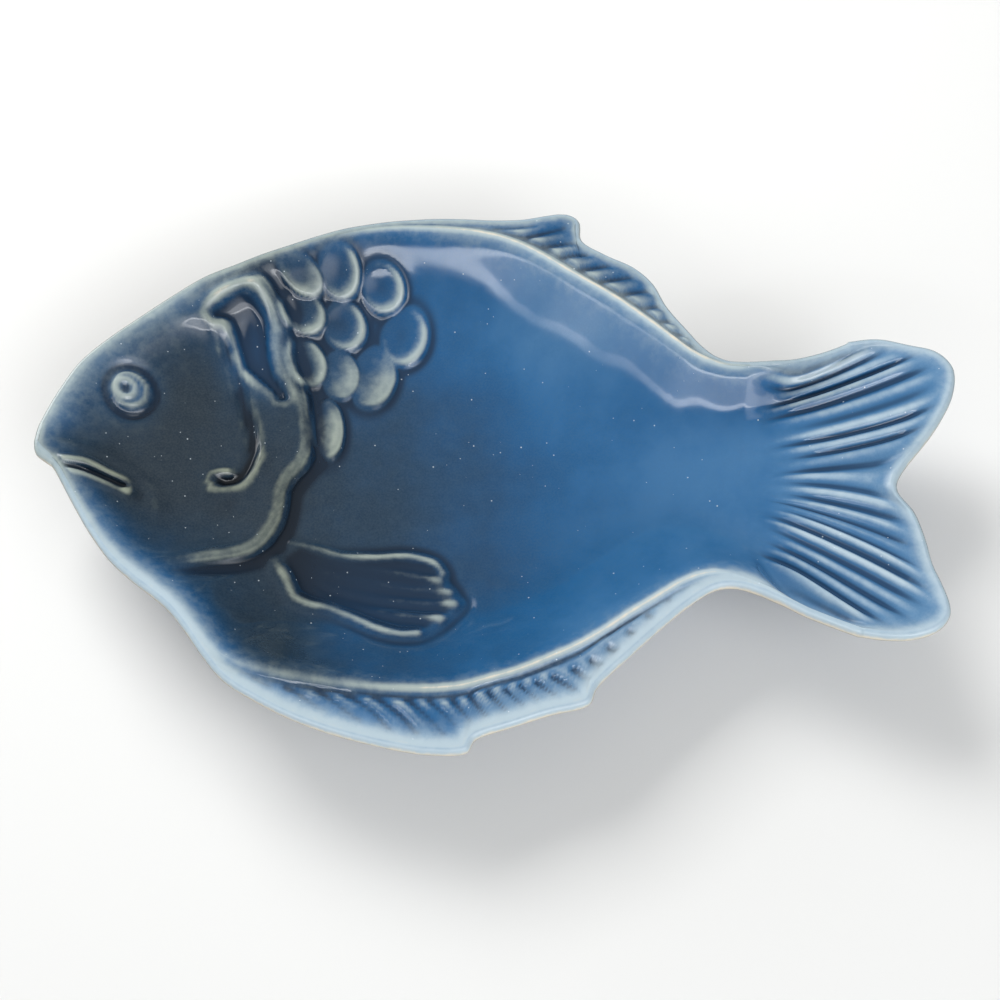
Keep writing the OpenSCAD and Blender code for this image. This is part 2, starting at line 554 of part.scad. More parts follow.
module back_glaze() {
    starts_in = ring_starts(count);
    pad_ring = len(under_rings) - 1;
    coat_start = count + len(under_rings) * under_count;
    plate_start = coat_start + pad_ring * under_count;
    color("slateblue")
    polyhedron(
        concat(edge_ring,
            [for (r = under_rings) each r],
            [for (r = [0 : pad_ring - 1], k = [0 : under_count - 1])
                under_rings[r][k] + [outs[under_places[k]][0], outs[under_places[k]][1], -1] * glaze * .7],
            [for (z = [foot_height, foot_height - glaze], turn = plate_turns)
                let (p = oval(turn, plate_length, plate_width))
                [p[0], p[1], z]]),
        concat(turned(back_mesh(0, starts_in)),
            back_mesh(0, [for (r = [0 : pad_ring])
                r < pad_ring ? coat_start + r * under_count : starts_in[r]]),
            plate_mesh(plate_start)));
}
clay_body();
foot_ring();
face_glaze();
back_glaze();
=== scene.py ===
"""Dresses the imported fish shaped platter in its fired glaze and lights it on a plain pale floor."""
import logging
import math
from dataclasses import dataclass, field
from enum import Enum
from typing import Sequence

import bpy
import numpy as np
from mathutils import Matrix, Vector


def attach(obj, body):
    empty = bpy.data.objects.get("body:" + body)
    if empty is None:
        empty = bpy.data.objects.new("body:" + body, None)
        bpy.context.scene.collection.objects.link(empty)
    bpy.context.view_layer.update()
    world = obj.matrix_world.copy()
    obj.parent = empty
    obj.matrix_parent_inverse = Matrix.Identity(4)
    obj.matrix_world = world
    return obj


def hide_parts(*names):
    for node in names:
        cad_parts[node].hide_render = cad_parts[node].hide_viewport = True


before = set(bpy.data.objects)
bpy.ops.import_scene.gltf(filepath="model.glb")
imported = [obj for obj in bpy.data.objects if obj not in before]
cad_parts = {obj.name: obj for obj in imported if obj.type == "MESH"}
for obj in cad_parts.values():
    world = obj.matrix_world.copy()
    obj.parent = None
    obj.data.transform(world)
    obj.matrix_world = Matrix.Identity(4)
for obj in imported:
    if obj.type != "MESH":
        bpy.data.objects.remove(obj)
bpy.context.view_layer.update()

log = logging.getLogger("platter")
MM = 0.001
TINY = 1e-9
LAST_RIB = 34.0
NODE_STEP = 190
Points = np.ndarray
Socket = bpy.types.NodeSocket
Place = tuple[float, float, float]
Tints = tuple[np.ndarray, np.ndarray]
Colour = tuple[float, float, float]
Table = Sequence[Sequence[float]]


class Slot(Enum):
    """The record's material slots."""

    CLAY = "clay"
    BARE_CLAY = "bare_clay"
    FACE = "face_glaze"
    BACK = "back_glaze"


class Side(Enum):
    """The two sides of the outline: the back fin's side and the belly fin's side."""

    UPPER = "back fin"
    LOWER = "belly fin"


def ease(low: float, high: float, value: Points) -> Points:
    """Steps smoothly from 0 to 1.

    Args:
        low: The value at which the step starts.
        high: The value at which it ends.
        value: Any array.

    Returns:
        An array of the same shape, from 0 to 1.
    """
    t = np.clip((value - low) / (high - low), 0.0, 1.0)
    return t * t * (3.0 - 2.0 * t)


def bump(away: Points, reach: float) -> Points:
    """A bell curve of height 1 that has faded out at about twice its reach."""
    return np.exp(-((away / reach) ** 2))


def distance(x: Points, y: Points, centre: Sequence[float], squeeze: float = 1.0) -> Points:
    """Distance from a centre, with the way across the dish taken times squeeze."""
    return np.hypot(x - centre[0], (y - centre[1]) * squeeze)


def spot(x: Points, y: Points, centre: Sequence[float], long: float, wide: float) -> Points:
    """A bell curve of height 1 round a centre, with its reach along the dish and its reach across it."""
    return bump(np.hypot((x - centre[0]) / long, (y - centre[1]) / wide), 1.0)


def window(x: Points, y: Points, low: Sequence[float], high: Sequence[float]) -> Points:
    """Tells which places lie between two corners."""
    return (x > low[0]) & (x < high[0]) & (y > low[1]) & (y < high[1])


def soft_table(value: Points, table: Table) -> Points:
    """Looks values up in a table, with level tops and bottoms at its rows.

    Args:
        value: Where to look.
        table: Rows of place and height, in order of place.

    Returns:
        The heights.
    """
    places, heights = np.array(table, float).T
    i = np.clip(np.searchsorted(places, value) - 1, 0, len(places) - 2)
    t = np.clip((value - places[i]) / (places[i + 1] - places[i]), 0.0, 1.0)
    return heights[i] + (heights[i + 1] - heights[i]) * t * t * (3.0 - 2.0 * t)


def spline(rows: Points, at: Points) -> Points:
    """Runs a smooth curve through rows of values.

    Args:
        rows: An array whose first axis counts the rows.
        at: Places along the curve, where 0 is the first row and 1 the second.

    Returns:
        One set of values for each place.
    """
    last = len(rows) - 1
    i = np.clip(np.floor(at).astype(int), 0, last - 1)
    t = (at - i).reshape((-1,) + (1,) * (rows.ndim - 1))
    a, b, c, d = rows[np.maximum(i - 1, 0)], rows[i], rows[i + 1], rows[np.minimum(i + 2, last)]
    return b + t * ((c - a) / 2 + t * (a - 2.5 * b + 2 * c - d / 2 + t * (1.5 * (b - c) + (d - a) / 2)))


def through(points: Table, per: int = 8) -> Points:
    """A dense line of points on a smooth curve through a few of them."""
    rows = np.array(points, float)
    return spline(rows, np.linspace(0.0, len(rows) - 1.0, per * (len(rows) - 1) + 1))


def nearest(x: Points, y: Points, line: Points) -> tuple[Points, Points, Points]:
    """Finds the nearest place on a line of points.

    Args:
        x: Places along the dish.
        y: Places across it.
        line: The line's points.

    Returns:
        The distance, the side (1 to the left of the line's run, -1 to the right) and the place along the
        line from 0 to 1.
    """
    least = np.full(x.shape, np.inf)
    side = np.ones(x.shape)
    along = np.zeros(x.shape)
    runs = line[1:] - line[:-1]
    sizes = np.hypot(runs[:, 0], runs[:, 1])
    marks = np.concatenate([[0.0], np.cumsum(sizes)]) / sizes.sum()
    for i, (start, run, size) in enumerate(zip(line[:-1], runs, sizes)):
        if size < TINY:
            continue
        dx, dy = x - start[0], y - start[1]
        t = np.clip((dx * run[0] + dy * run[1]) / size**2, 0.0, 1.0)
        gap = np.hypot(dx - t * run[0], dy - t * run[1])
        closer = gap < least
        least = np.where(closer, gap, least)
        side = np.where(closer, np.sign(run[0] * dy - run[1] * dx + 1e-12), side)
        along = np.where(closer, marks[i] + t * (marks[i + 1] - marks[i]), along)
    return least, side, along


def inside(x: Points, y: Points, outline: Points) -> Points:
    """Tells which places lie inside a closed outline.

    Args:
        x: Places along the dish.
        y: Places across it.
        outline: The outline's points.

    Returns:
        True where a place lies inside.
    """
    within = np.zeros(x.shape, bool)
    for a, b in zip(outline, np.roll(outline, -1, axis=0)):
        crosses = (a[1] > y) != (b[1] > y)
        rise = b[1] - a[1] if abs(b[1] - a[1]) > TINY else TINY
        within ^= crosses & (x < a[0] + (y - a[1]) * (b[0] - a[0]) / rise)
    return within


def gap_to(x: Points, y: Points, points: Table) -> Points:
    """Distance to the smooth line through a few points."""
    return nearest(x, y, through(points))[0]


def depth_in(x: Points, y: Points, corners: Table) -> Points:
    """Distance in from the edge of a smooth closed outline.

    Args:
        x: Places along the dish.
        y: Places across it.
        corners: A few points of the outline.

    Returns:
        The distances, which are negative outside the outline.
    """
    outline = through([*corners, corners[0]], 5)
    edge = nearest(x, y, outline)[0]
    return np.where(inside(x, y, outline), edge, -edge)


def ring_numbers(first: int, size: int, count: int) -> list[Points]:
    """Point numbers of rings of one size that follow each other in a mesh."""
    return [first + k * size + np.arange(size) for k in range(count)]


def mesh_object(name: str, points: Points, faces: Points) -> bpy.types.Object:
    """Makes a smooth shaded mesh object.

    Args:
        name: The object's name.
        points: Points in millimetres.
        faces: Rows of corners: a row of four whose last two are the same is a triangle.

    Returns:
        The object, in metres, linked to the scene.
    """
    mesh = bpy.data.meshes.new(name)
    rows = [tuple(dict.fromkeys(row)) for row in faces.tolist()]
    mesh.from_pydata((points * MM).tolist(), [], [row for row in rows if len(row) > 2])
    mesh.polygons.foreach_set("use_smooth", [True] * len(mesh.polygons))
    mesh.update()
    made = bpy.data.objects.new(name, mesh)
    bpy.context.scene.collection.objects.link(made)
    return made


def paint(piece: bpy.types.Object, name: str, values: Points) -> None:
    """Stores three values a point on a piece, for its material to read.

    Args:
        piece: The mesh object.
        name: The attribute's name.
        values: One row of three values for each point.
    """
    layer = piece.data.color_attributes.new(name, "FLOAT_COLOR", "POINT")
    rows = np.concatenate([np.clip(values, 0.0, 1.0), np.ones((len(values), 1))], axis=1)
    layer.data.foreach_set("color", rows.astype(np.float32).ravel())


# The form of the dish, in millimetres: x from nose to tail, y to the back fin, z up


@dataclass
class DishForm:
    """The plain form of the dish: its outline, its bowl and the drooping bands of its fins."""

    length: float = 305.0
    width: float = 200.0
    rim_height: float = 37.0
    rim_sweep: float = 4.0
    clay_wall: float = 5.5
    rim_edge: float = 4.4
    glaze: float = 0.4
    wall_reach: float = 40.0
    foot_height: float = 4.0
    foot_length: float = 120.0
    foot_width: float = 72.0
    foot_wall: float = 5.0
    foot_set_back: float = 2.0
    foot_margin: float = 1.5
    fin_full: float = 15.0
    fin_droop: float = 2.0
    crest_round: float = 3.0
    wall_power: float = 1.8
    steep_extra: float = 0.56
    box_margin: float = 0.05
    crest_inset: float = 0.985
    waist: float = 0.2
    end_ease: int = 23
    sections: Table = field(default_factory=lambda: [
        [-.4998, .000, -.4940, -.001, -.4940, -.019, -.4998, -.020, 0],
        [-.4975, .022, -.489, .020, -.487, -.030, -.495, -.040, 0],
        [-.487, .077, -.478, .070, -.475, -.045, -.480, -.056, 0],
        [-.470, .137, -.461, .129, -.462, -.067, -.472, -.066, 0],
        [-.444, .186, -.437, .176, -.439, -.117, -.447, -.121, 0],
        [-.413, .233, -.406, .221, -.414, -.165, -.422, -.173, .013],
        [-.382, .278, -.375, .266, -.390, -.207, -.396, -.218, .043],
        [-.349, .321, -.343, .309, -.365, -.238, -.371, -.249, .085],
        [-.316, .350, -.312, .337, -.340, -.264, -.346, -.275, .111],
        [-.286, .376, -.283, .362, -.319, -.288, -.325, -.299, .102],
        [-.256, .398, -.253, .384, -.297, -.322, -.305, -.331, .092],
        [-.227, .419, -.223, .404, -.274, -.355, -.284, -.369, .079],
        [-.197, .438, -.194, .421, -.248, -.375, -.260, -.405, .064],
        [-.164, .452, -.162, .434, -.217, -.387, -.228, -.432, .048],
        [-.131, .463, -.131, .441, -.184, -.395, -.190, -.457, .031],
        [-.095, .471, -.098, .443, -.151, -.400, -.149, -.476, .016],
        [-.056, .474, -.066, .443, -.118, -.404, -.105, -.490, .007],
        [-.020, .475, -.034, .439, -.085, -.405, -.067, -.4985, 0],
        [.013, .481, -.005, .429, -.054, -.403, -.038, -.5, 0],
        [.041, .494, .023, .411, -.025, -.397, -.015, -.494, 0],
        [.066, .5, .049, .388, .003, -.383, -.005, -.472, 0],
        [.083, .484, .075, .362, .033, -.367, .031, -.451, 0],
        [.087, .442, .100, .339, .062, -.346, .066, -.431, 0],
        [.115, .414, .125, .315, .090, -.324, .102, -.414, 0],
        [.148, .390, .149, .288, .118, -.296, .113, -.382, 0],
        [.171, .356, .172, .261, .144, -.266, .146, -.331, 0],
        [.187, .308, .193, .235, .171, -.237, .175, -.288, 0],
        [.208, .264, .213, .211, .197, -.210, .203, -.250, 0],
        [.228, .225, .231, .197, .223, -.194, .230, -.221, 0],
        [.251, .202, .251, .187, .249, -.194, .253, -.215, 0],
        [.2755, .199, .2755, .185, .2755, -.208, .2755, -.225, 0]])
    bow: Table = field(default_factory=lambda: [
        [0, 0], [.1, .36], [.2, .7], [.32, .86], [.42, .92], [.5, 1], [.58, .95], [.7, .77], [.8, .6],
        [.92, .38], [1, 0]])
    ribs: Table = field(default_factory=lambda: [
        [-.225, .334, -.267, .377, -.290], [-.140, .318, -.160, .398, -.294],
        [-.112, .328, -.142, .424, -.2935], [-.086, .340, -.130, .451, -.280],
        [-.060, .342, -.102, .466, -.250], [-.040, .348, -.074, .461, -.206],
        [-.032, .352, -.062, .453, -.170], [-.024, .360, -.050, .449, -.127],
        [-.012, .360, -.018, .440, -.076], [0, .365, .010, .424, -.030],
        [.020, .370, .026, .463, .050], [.045, .385, .052, .481, .092],
        [.071, .386, .080, .495, .135], [.098, .384, .112, .5, .186],
        [.124, .368, .142, .482, .221], [.148, .362, .167, .455, .233],
        [.170, .350, .186, .420, .247], [.199, .341, .203, .388, .241]])
    floor: Table = field(default_factory=lambda: [
        [-.5, .98], [-.48, .84], [-.452, .72], [-.41, .60], [-.328, .40], [-.23, .22], [-.18, .13],
        [-.13, .05], [-.033, 0], [.131, 0], [.19, .09], [.246, .30], [.312, .58], [.394, .80], [.46, .92],
        [.5, 1]])
    sweep: Table = field(default_factory=lambda: [
        [-.5, .62], [-.2, .35], [.1, .08], [.246, -.3], [.394, .25], [.5, 1]])
    wall: Table = field(default_factory=lambda: [
        [-.5, .28], [-.46, .37], [-.394, .51], [-.31, .7], [-.2, .93], [-.1, 1], [.131, 1], [.213, .74],
        [.262, .51], [.328, .35], [.5, .28]])

    def __post_init__(self) -> None:
        """Works out the dense tables and the crest lines."""
        self.rows = np.array(self.sections, float)
        self.scale = np.array([self.length, self.width])
        self.last = len(self.rows) - 1
        tables = {"floor": (self.floor, .02), "sweep": (self.sweep, .03), "wall": (self.wall, .02),
                  "bow": (self.bow, .03)}
        self.smooth_tables = {key: self._smooth(*table) for key, table in tables.items()}
        cut = self.section(np.linspace(0.0, self.last, self.last * 8 + 1))
        middle = np.array([self.length * self.waist, 0.0])
        tail = self.tail_points(np.array([0.0, LAST_RIB]), np.linspace(0.0, 1.0, 17))
        tail = middle + (tail - middle) * self.crest_inset
        self.crest_lines = [np.concatenate([cut[:, 2], tail[:, 0]]), np.concatenate([cut[:, 1], tail[:, 1]]),
                            cut[0, [2, 1]]]

    @staticmethod
    def _smooth(table: Table, reach: float) -> tuple[Points, Points]:
        """Rounds the corners of a table by a running mean.

        Args:
            table: Rows of place and value.
            reach: How far the mean reaches to each side.

        Returns:
            Dense places and their values.
        """
        places, values = np.array(table, float).T
        fine = np.linspace(places[0], places[-1], 1201)
        steps = max(1, int(reach / (fine[1] - fine[0])))
        weights = np.hanning(2 * steps + 1) + 1e-6
        padded = np.interp(np.arange(-steps, len(fine) + steps), np.arange(len(fine)),
                           np.interp(fine, places, values))
        rounded = np.convolve(padded, weights / weights.sum(), "valid")
        if values[0] == 0 and values[-1] == 0:
            rounded = rounded - np.interp(fine, [fine[0], fine[-1]], [rounded[0], rounded[-1]])
        return fine, rounded

    def along(self, key: str, x: Points) -> Points:
        """Looks a smooth table up at places along the dish."""
        fine, values = self.smooth_tables[key]
        return np.interp(x / self.length, fine, values)

    def section(self, at: Points) -> Points:
        """The upper edge, upper crest, lower crest and lower edge of cross-sections.

        Args:
            at: Places along the body, where 0 is the nose and a whole number is a row of the table.

        Returns:
            Points in millimetres, as places by four by two.
        """
        return spline(self.rows[:, :8], at).reshape(-1, 4, 2) * self.scale

    def tail_points(self, rib: Points, t: Points) -> Points:
        """Points on the curved lines of the tail.

        Args:
            rib: Numbers of the lines, where an even number is a rib's crest and an odd one a valley.
            t: Places along them, from 0 at the root to 1 at the end.

        Returns:
            Points in millimetres, as places by lines by two.
        """
        rows = np.array(self.ribs, float)
        straight = np.stack([np.interp(rib / 2, np.arange(len(rows)), rows[:, k]) for k in range(3)], 1)
        fine = np.linspace(0, len(rows) - 1, 40 * (len(rows) - 1) + 1)
        run = spline(rows[:, 3:], fine)
        reach = self.end_ease
        weights = np.hanning(2 * reach + 1)
        padded = np.concatenate([2 * run[:1] - run[reach:0:-1], run, 2 * run[-1:] - run[-2:-reach - 2:-1]])
        run = np.stack([np.convolve(padded[:, k], weights / weights.sum(), "valid") for k in (0, 1)], 1)
        ends = np.stack([np.interp(rib / 2, fine, run[:, k]) for k in (0, 1)], 1)
        root = np.stack([np.full(len(rib), self.rows[-1, 0]), straight[:, 0]], 1) * self.scale
        middle, end = straight[:, 1:] * self.scale, ends * self.scale
        s = t[:, None, None]
        return root * (1 - s) ** 2 + middle * 2 * s * (1 - s) + end * s**2

    def limits(self) -> Points:
        """The corners of the plan that no point of the outline passes."""
        half = self.scale / 2 - self.box_margin
        return np.array([-half, half])

    def rim_at(self, x: Points) -> Points:
        """Height of the rim along the dish."""
        return self.rim_height + self.rim_sweep * self.along("sweep", x)

    def floor_at(self, x: Points) -> Points:
        """Height of the flat middle along the dish."""
        low = self.foot_height + self.clay_wall
        return low + (self.rim_at(x) - low) * self.along("floor", x)

    def crest_gap(self, x: Points, y: Points) -> Points:
        """Distance in from the crest of the rim."""
        return np.min([nearest(x, y, line)[0] for line in self.crest_lines], axis=0)

    def bowl(self, x: Points, away: Points) -> Points:
        """Height of the bowl.

        Args:
            x: Places along the dish.
            away: Their distance in from the crest of the rim.

        Returns:
            The heights.
        """
        eased = np.sqrt(away**2 + self.crest_round**2) - self.crest_round
        t = np.clip(eased / (self.wall_reach * self.along("wall", x)), 0.0, 1.0)
        floor, rim = self.floor_at(x), self.rim_at(x)
        return floor + (rim - floor) * (1.0 - t) ** self.wall_power

    def oval(self, turns: Points, long: float, wide: float, z: float) -> Points:
        """Points of a level oval about the middle of the foot."""
        plan = [long / 2 * np.cos(turns) - self.foot_set_back, wide / 2 * np.sin(turns)]
        return np.stack([*plan, np.full(len(turns), z)], -1)

    def pad(self, x: Points, y: Points) -> Points:
        """How far out a place lies from the middle of the foot, where 1 is the end of its margin."""
        return np.hypot((x + self.foot_set_back) / (self.foot_length / 2 + self.foot_margin),
                        y / (self.foot_width / 2 + self.foot_margin))


# Relief of the face: each class is one worked area of the mould


@dataclass
class Eye:
    """The domed eye with its outer ring, its moat and its small pupil ring."""

    centre: tuple[float, float] = (-126.4, 20.5)
    pupil: tuple[float, float] = (-127.6, 20.6)
    rise: float = 2.9
    dome: Table = ((0, .84), (3.4, .86), (4.8, .88), (6.9, 0), (8.0, -.22), (11, 0))
    ring: Table = ((0, -.16), (1.1, -.10), (2.6, .22), (4.3, -.10), (5.6, 0))

    def relief(self, x: Points, y: Points) -> Points:
        """Height of the eye over the plain face, in millimetres."""
        dome = soft_table(distance(x, y, self.centre, .94), self.dome)
        return self.rise * (dome + soft_table(distance(x, y, self.pupil), self.ring))

    def tint(self, x: Points, y: Points) -> Tints:
        """Where the glaze is thinner and where it pooled: a pale halo round the dark pupil.

        Args:
            x: Places along the dish.
            y: Places across it.

        Returns:
            How thin it is and how far it pooled.
        """
        middle, outer = distance(x, y, self.pupil), distance(x, y, self.centre)
        thin = .40 * bump(middle - 2.9, 1.2) + .14 * bump(outer - 5.4, 1.0)
        return thin, .95 * bump(middle, 1.65) + .40 * bump(outer - 7.9, 1.3)


@dataclass
class Mouth:
    """The slit of the mouth between its two lips."""

    slit: Table = ((-149.5, -14.6), (-145.0, -13.0), (-138.3, -11.9), (-134, -11.7), (-128.3, -13),
                   (-122.8, -14.4))
    upper_lip: Table = ((-146, -11.8), (-138.3, -9.4), (-133.9, -9.0), (-128.3, -11.0), (-122.8, -12.8),
                        (-120.6, -16))
    lower_lip: Table = ((-144, -14.8), (-138, -14.2), (-132, -14.6), (-127.2, -15.7), (-121.6, -17.2))
    middle: tuple[float, float] = (-134, -13)
    corner: tuple[float, float] = (-117.5, -16.5)
    depth: float = 2.0

    def relief(self, x: Points, y: Points) -> Points:
        """Height of the lips and the slit over the plain face.

        Args:
            x: Places along the dish.
            y: Places across it.

        Returns:
            The heights in millimetres.
        """
        lips = 2.1 * bump(gap_to(x, y, self.upper_lip), 2.2) + 1.5 * bump(gap_to(x, y, self.lower_lip), 1.7)
        corner = .8 * bump(distance(x, y, self.corner), 3.4)
        slit = self.depth * bump(gap_to(x, y, self.slit), 1.05)
        return bump(distance(x, y, self.middle), 26) * (lips - corner) - slit


@dataclass
class Cheek:
    """The crease that hooks round the cheek, with a ridge on each side, and the gill slot above it."""

    crease: Table = ((-101, 50), (-97.8, 43.7), (-97.0, 39.8), (-93.9, 34.2), (-91.1, 25.3), (-88.3, 18.7),
                     (-85.6, 10.9), (-84.8, 4.2), (-86.1, -2.0), (-88.8, -5.4), (-93.0, -6.9))
    behind: Table = ((-98.5, 50.5), (-96, 46), (-92.8, 38.6), (-88.0, 29.6), (-85.6, 22), (-83.2, 15),
                     (-81.9, 8.7), (-81.6, 3), (-82.9, -3.4), (-86, -8.6), (-91.4, -10.9), (-96, -11))
    front: Table = ((-119, 45.4), (-113.4, 48.2), (-108, 49.6), (-102.8, 48.8), (-100.2, 44.8), (-99.2, 41),
                    (-96.2, 36.4), (-93.4, 31))
    hook: Table = ((-97.4, -8.0), (-97.2, -5.4), (-94.6, -3.8), (-91.8, -3.4))
    lip_fold: Table = ((-147, -3.6), (-140, -3.0), (-131, -4.2), (-122, -8.4), (-115, -13.6), (-112, -20))
    eye_fold: Table = ((-131, 7.6), (-124, 7.2), (-115.4, 9.2))
    slot: Table = ((-98.9, 58.1), (-94.4, 61.4), (-89.4, 60.9), (-84.6, 55.3), (-83.1, 45.3), (-80.9, 37.6),
                   (-77.4, 32), (-75.6, 27), (-78.3, 26.2), (-81.7, 29.6), (-87.2, 33.6), (-92.2, 37.4),
                   (-95.4, 44.2), (-98.1, 50.3), (-102, 51.0), (-102.6, 53))

    def tint(self, x: Points, y: Points) -> Tints:
        """Where the glaze is thinner and where it pooled: the slot is full of it."""
        depth = depth_in(x, y, self.slot)
        return .14 * bump(depth + 1.8, 1.5), .42 * ease(-.6, 2.4, depth)

    def relief(self, x: Points, y: Points) -> Points:
        """Height of the cheek's creases and ridges over the plain face.

        Args:
            x: Places along the dish.
            y: Places across it.

        Returns:
            The heights in millimetres.
        """
        gap, _, place = nearest(x, y, through(self.crease))
        crease = bump(gap, 1.8) * ease(-.02, .12, place) * (1 + .15 * ease(.7, .95, place))
        gap, _, place = nearest(x, y, through(self.behind))
        ridge = bump(gap, 2.7) * (.7 + .5 * ease(.5, .9, place))
        gap, _, place = nearest(x, y, through(self.front))
        front = bump(gap, 2.6) * ease(-.05, .5, place)
        folds = .9 * bump(gap_to(x, y, self.lip_fold), 3.2) + .5 * bump(gap_to(x, y, self.eye_fold), 2.6)
        hook = bump(gap_to(x, y, self.hook), 1.7)
        depth = depth_in(x, y, self.slot)
        swell = 1.6 * bump(np.hypot((x + 108) * .9, (y - 12) * .7), 19)
        return (swell + folds - 2.0 * crease + 1.6 * ridge + 1.4 * front + 1.3 * hook
                - 2.6 * ease(-1.0, 3.4, depth) + .6 * bump(depth + 2.0, 2.0))


@dataclass
class GillCover:
    """The raised edge of the gill cover, which steps down to the body behind it."""

    edge: Table = ((-113, 50), (-107, 56), (-100, 62), (-93, 66), (-86, 64.5), (-81, 58.5), (-78, 51),
                   (-77, 44), (-75, 38.5), (-71.5, 32), (-69, 24), (-67.2, 15), (-66.4, 8.5), (-67.8, 2.5),
                   (-71, -3), (-72.8, -8), (-73, -15), (-74, -21.5), (-77.5, -28.5), (-83, -33.2),
                   (-91, -36.8), (-100, -40.5), (-110, -44.5))
    step: float = 3.4
    profile: Table = ((-18, 0), (-9, .42), (-5.5, .62), (-1.6, 1), (.2, .86), (3.8, -.06), (5.2, -.14),
                      (9, 0))

    def _behind(self, x: Points, y: Points) -> tuple[Points, Points]:
        """Distance behind the edge, which is negative before it, and a fade towards its two ends."""
        gap, side, place = nearest(x, y, through(self.edge, 6))
        return gap * side, ease(0, .12, place) * ease(0, .12, 1 - place)

    def tint(self, x: Points, y: Points) -> Tints:
        """Where the glaze is thinner and where it pooled: pale on the lip, and dark behind it, where the
        glaze pooled in the hollow is widened into a painted shadow band.
        """
        behind, fade = self._behind(x, y)
        return .07 * bump(behind + .3, 1.2) * fade, .55 * bump(behind - 4.4, 3.0) * fade

    def relief(self, x: Points, y: Points) -> Points:
        """Height of the gill cover over the body, in millimetres."""
        behind, fade = self._behind(x, y)
        return self.step * soft_table(behind, self.profile) * fade


@dataclass
class Scales:
    """The ten lapped scales behind the gill cover, each of which dips under the one before it."""

    lobes: Table = (
        (-73.5, 70.0, 9.6, 6.6, -25, .6), (-60.2, 73.0, 8.4, 9.4, -6, 1), (-72.6, 59.2, 9.2, 8.0, -18, 1),
        (-58.2, 57.4, 8.8, 9.4, 4, 1), (-70.4, 42.0, 8.0, 10.6, 20, .7), (-58.6, 39.6, 8.0, 11.0, 8, .2),
        (-60.6, 17.8, 6.2, 13.2, 8, .1), (-47.0, 40.4, 9.4, 14.0, -6, .2), (-45.0, 70.8, 9.0, 8.4, -4, 1),
        (-36.6, 56.4, 9.4, 12.0, -18, 1))
    rise: float = 2.7

    def relief(self, x: Points, y: Points) -> Points:
        """Height of the scales over the body, in millimetres."""
        return self._worked(x, y)[0]

    def _worked(self, x: Points, y: Points) -> tuple[Points, Points, Points, Points]:
        """Works the scales.

        Args:
            x: Places along the dish.
            y: Places across it.

        Returns:
            Their height, how deep inside a dished scale each place is, the distance to the nearest scale's
            edge, which is negative inside it, and how smooth the scale there is.
        """
        height, within, smooth = np.zeros(x.shape), np.zeros(x.shape), np.zeros(x.shape)
        least = np.full(x.shape, 9.0)
        for cx, cy, wide, tall, lean, dished in self.lobes:
            c, s = math.cos(math.radians(lean)), math.sin(math.radians(lean))
            u = ((x - cx) * c + (y - cy) * s) / wide
            v = ((y - cy) * c - (x - cx) * s) / tall
            reach = np.hypot(u, v)
            round_top = soft_table(reach, [[0, 1], [.45, .96], [.78, .72], [1.06, 0]])
            rimmed = soft_table(reach, [[0, .86], [.48, .90], [.72, 1], [1.06, 0]])
            lobe = rimmed * dished + round_top * (1 - dished)
            tilt = .62 + .38 * np.clip(u * .86 - v * .42, -1, 1)
            dish = dished * bump(np.hypot(u + .14, v - .05), .52)
            swell = lobe * (tilt - .30 * dish)
            within = np.where(swell > height, dish, within)
            smooth = np.where(swell > height, 1 - dished, smooth)
            height = np.where(swell > height, swell, height) + .12 * np.minimum(swell, height)
            least = np.minimum(least, (reach - 1.04) * min(wide, tall))
        return self.rise * height - .14 * bump(least - .6, 2.3), within, least, smooth

    def tint(self, x: Points, y: Points) -> Tints:
        """Where the glaze is thinner and where it pooled: pale tops and dark gaps.

        Args:
            x: Places along the dish.
            y: Places across it.

        Returns:
            How thin it is and how far it pooled.
        """
        raised, within, least, smooth = self._worked(x, y)
        thin = (.30 + .14 * smooth) * ease(.7, 2.2, raised) * (1 - .8 * ease(.1, .7, within))
        return thin, .48 * bump(least - .4, 1.9) * ease(.9, .1, raised) + .26 * within


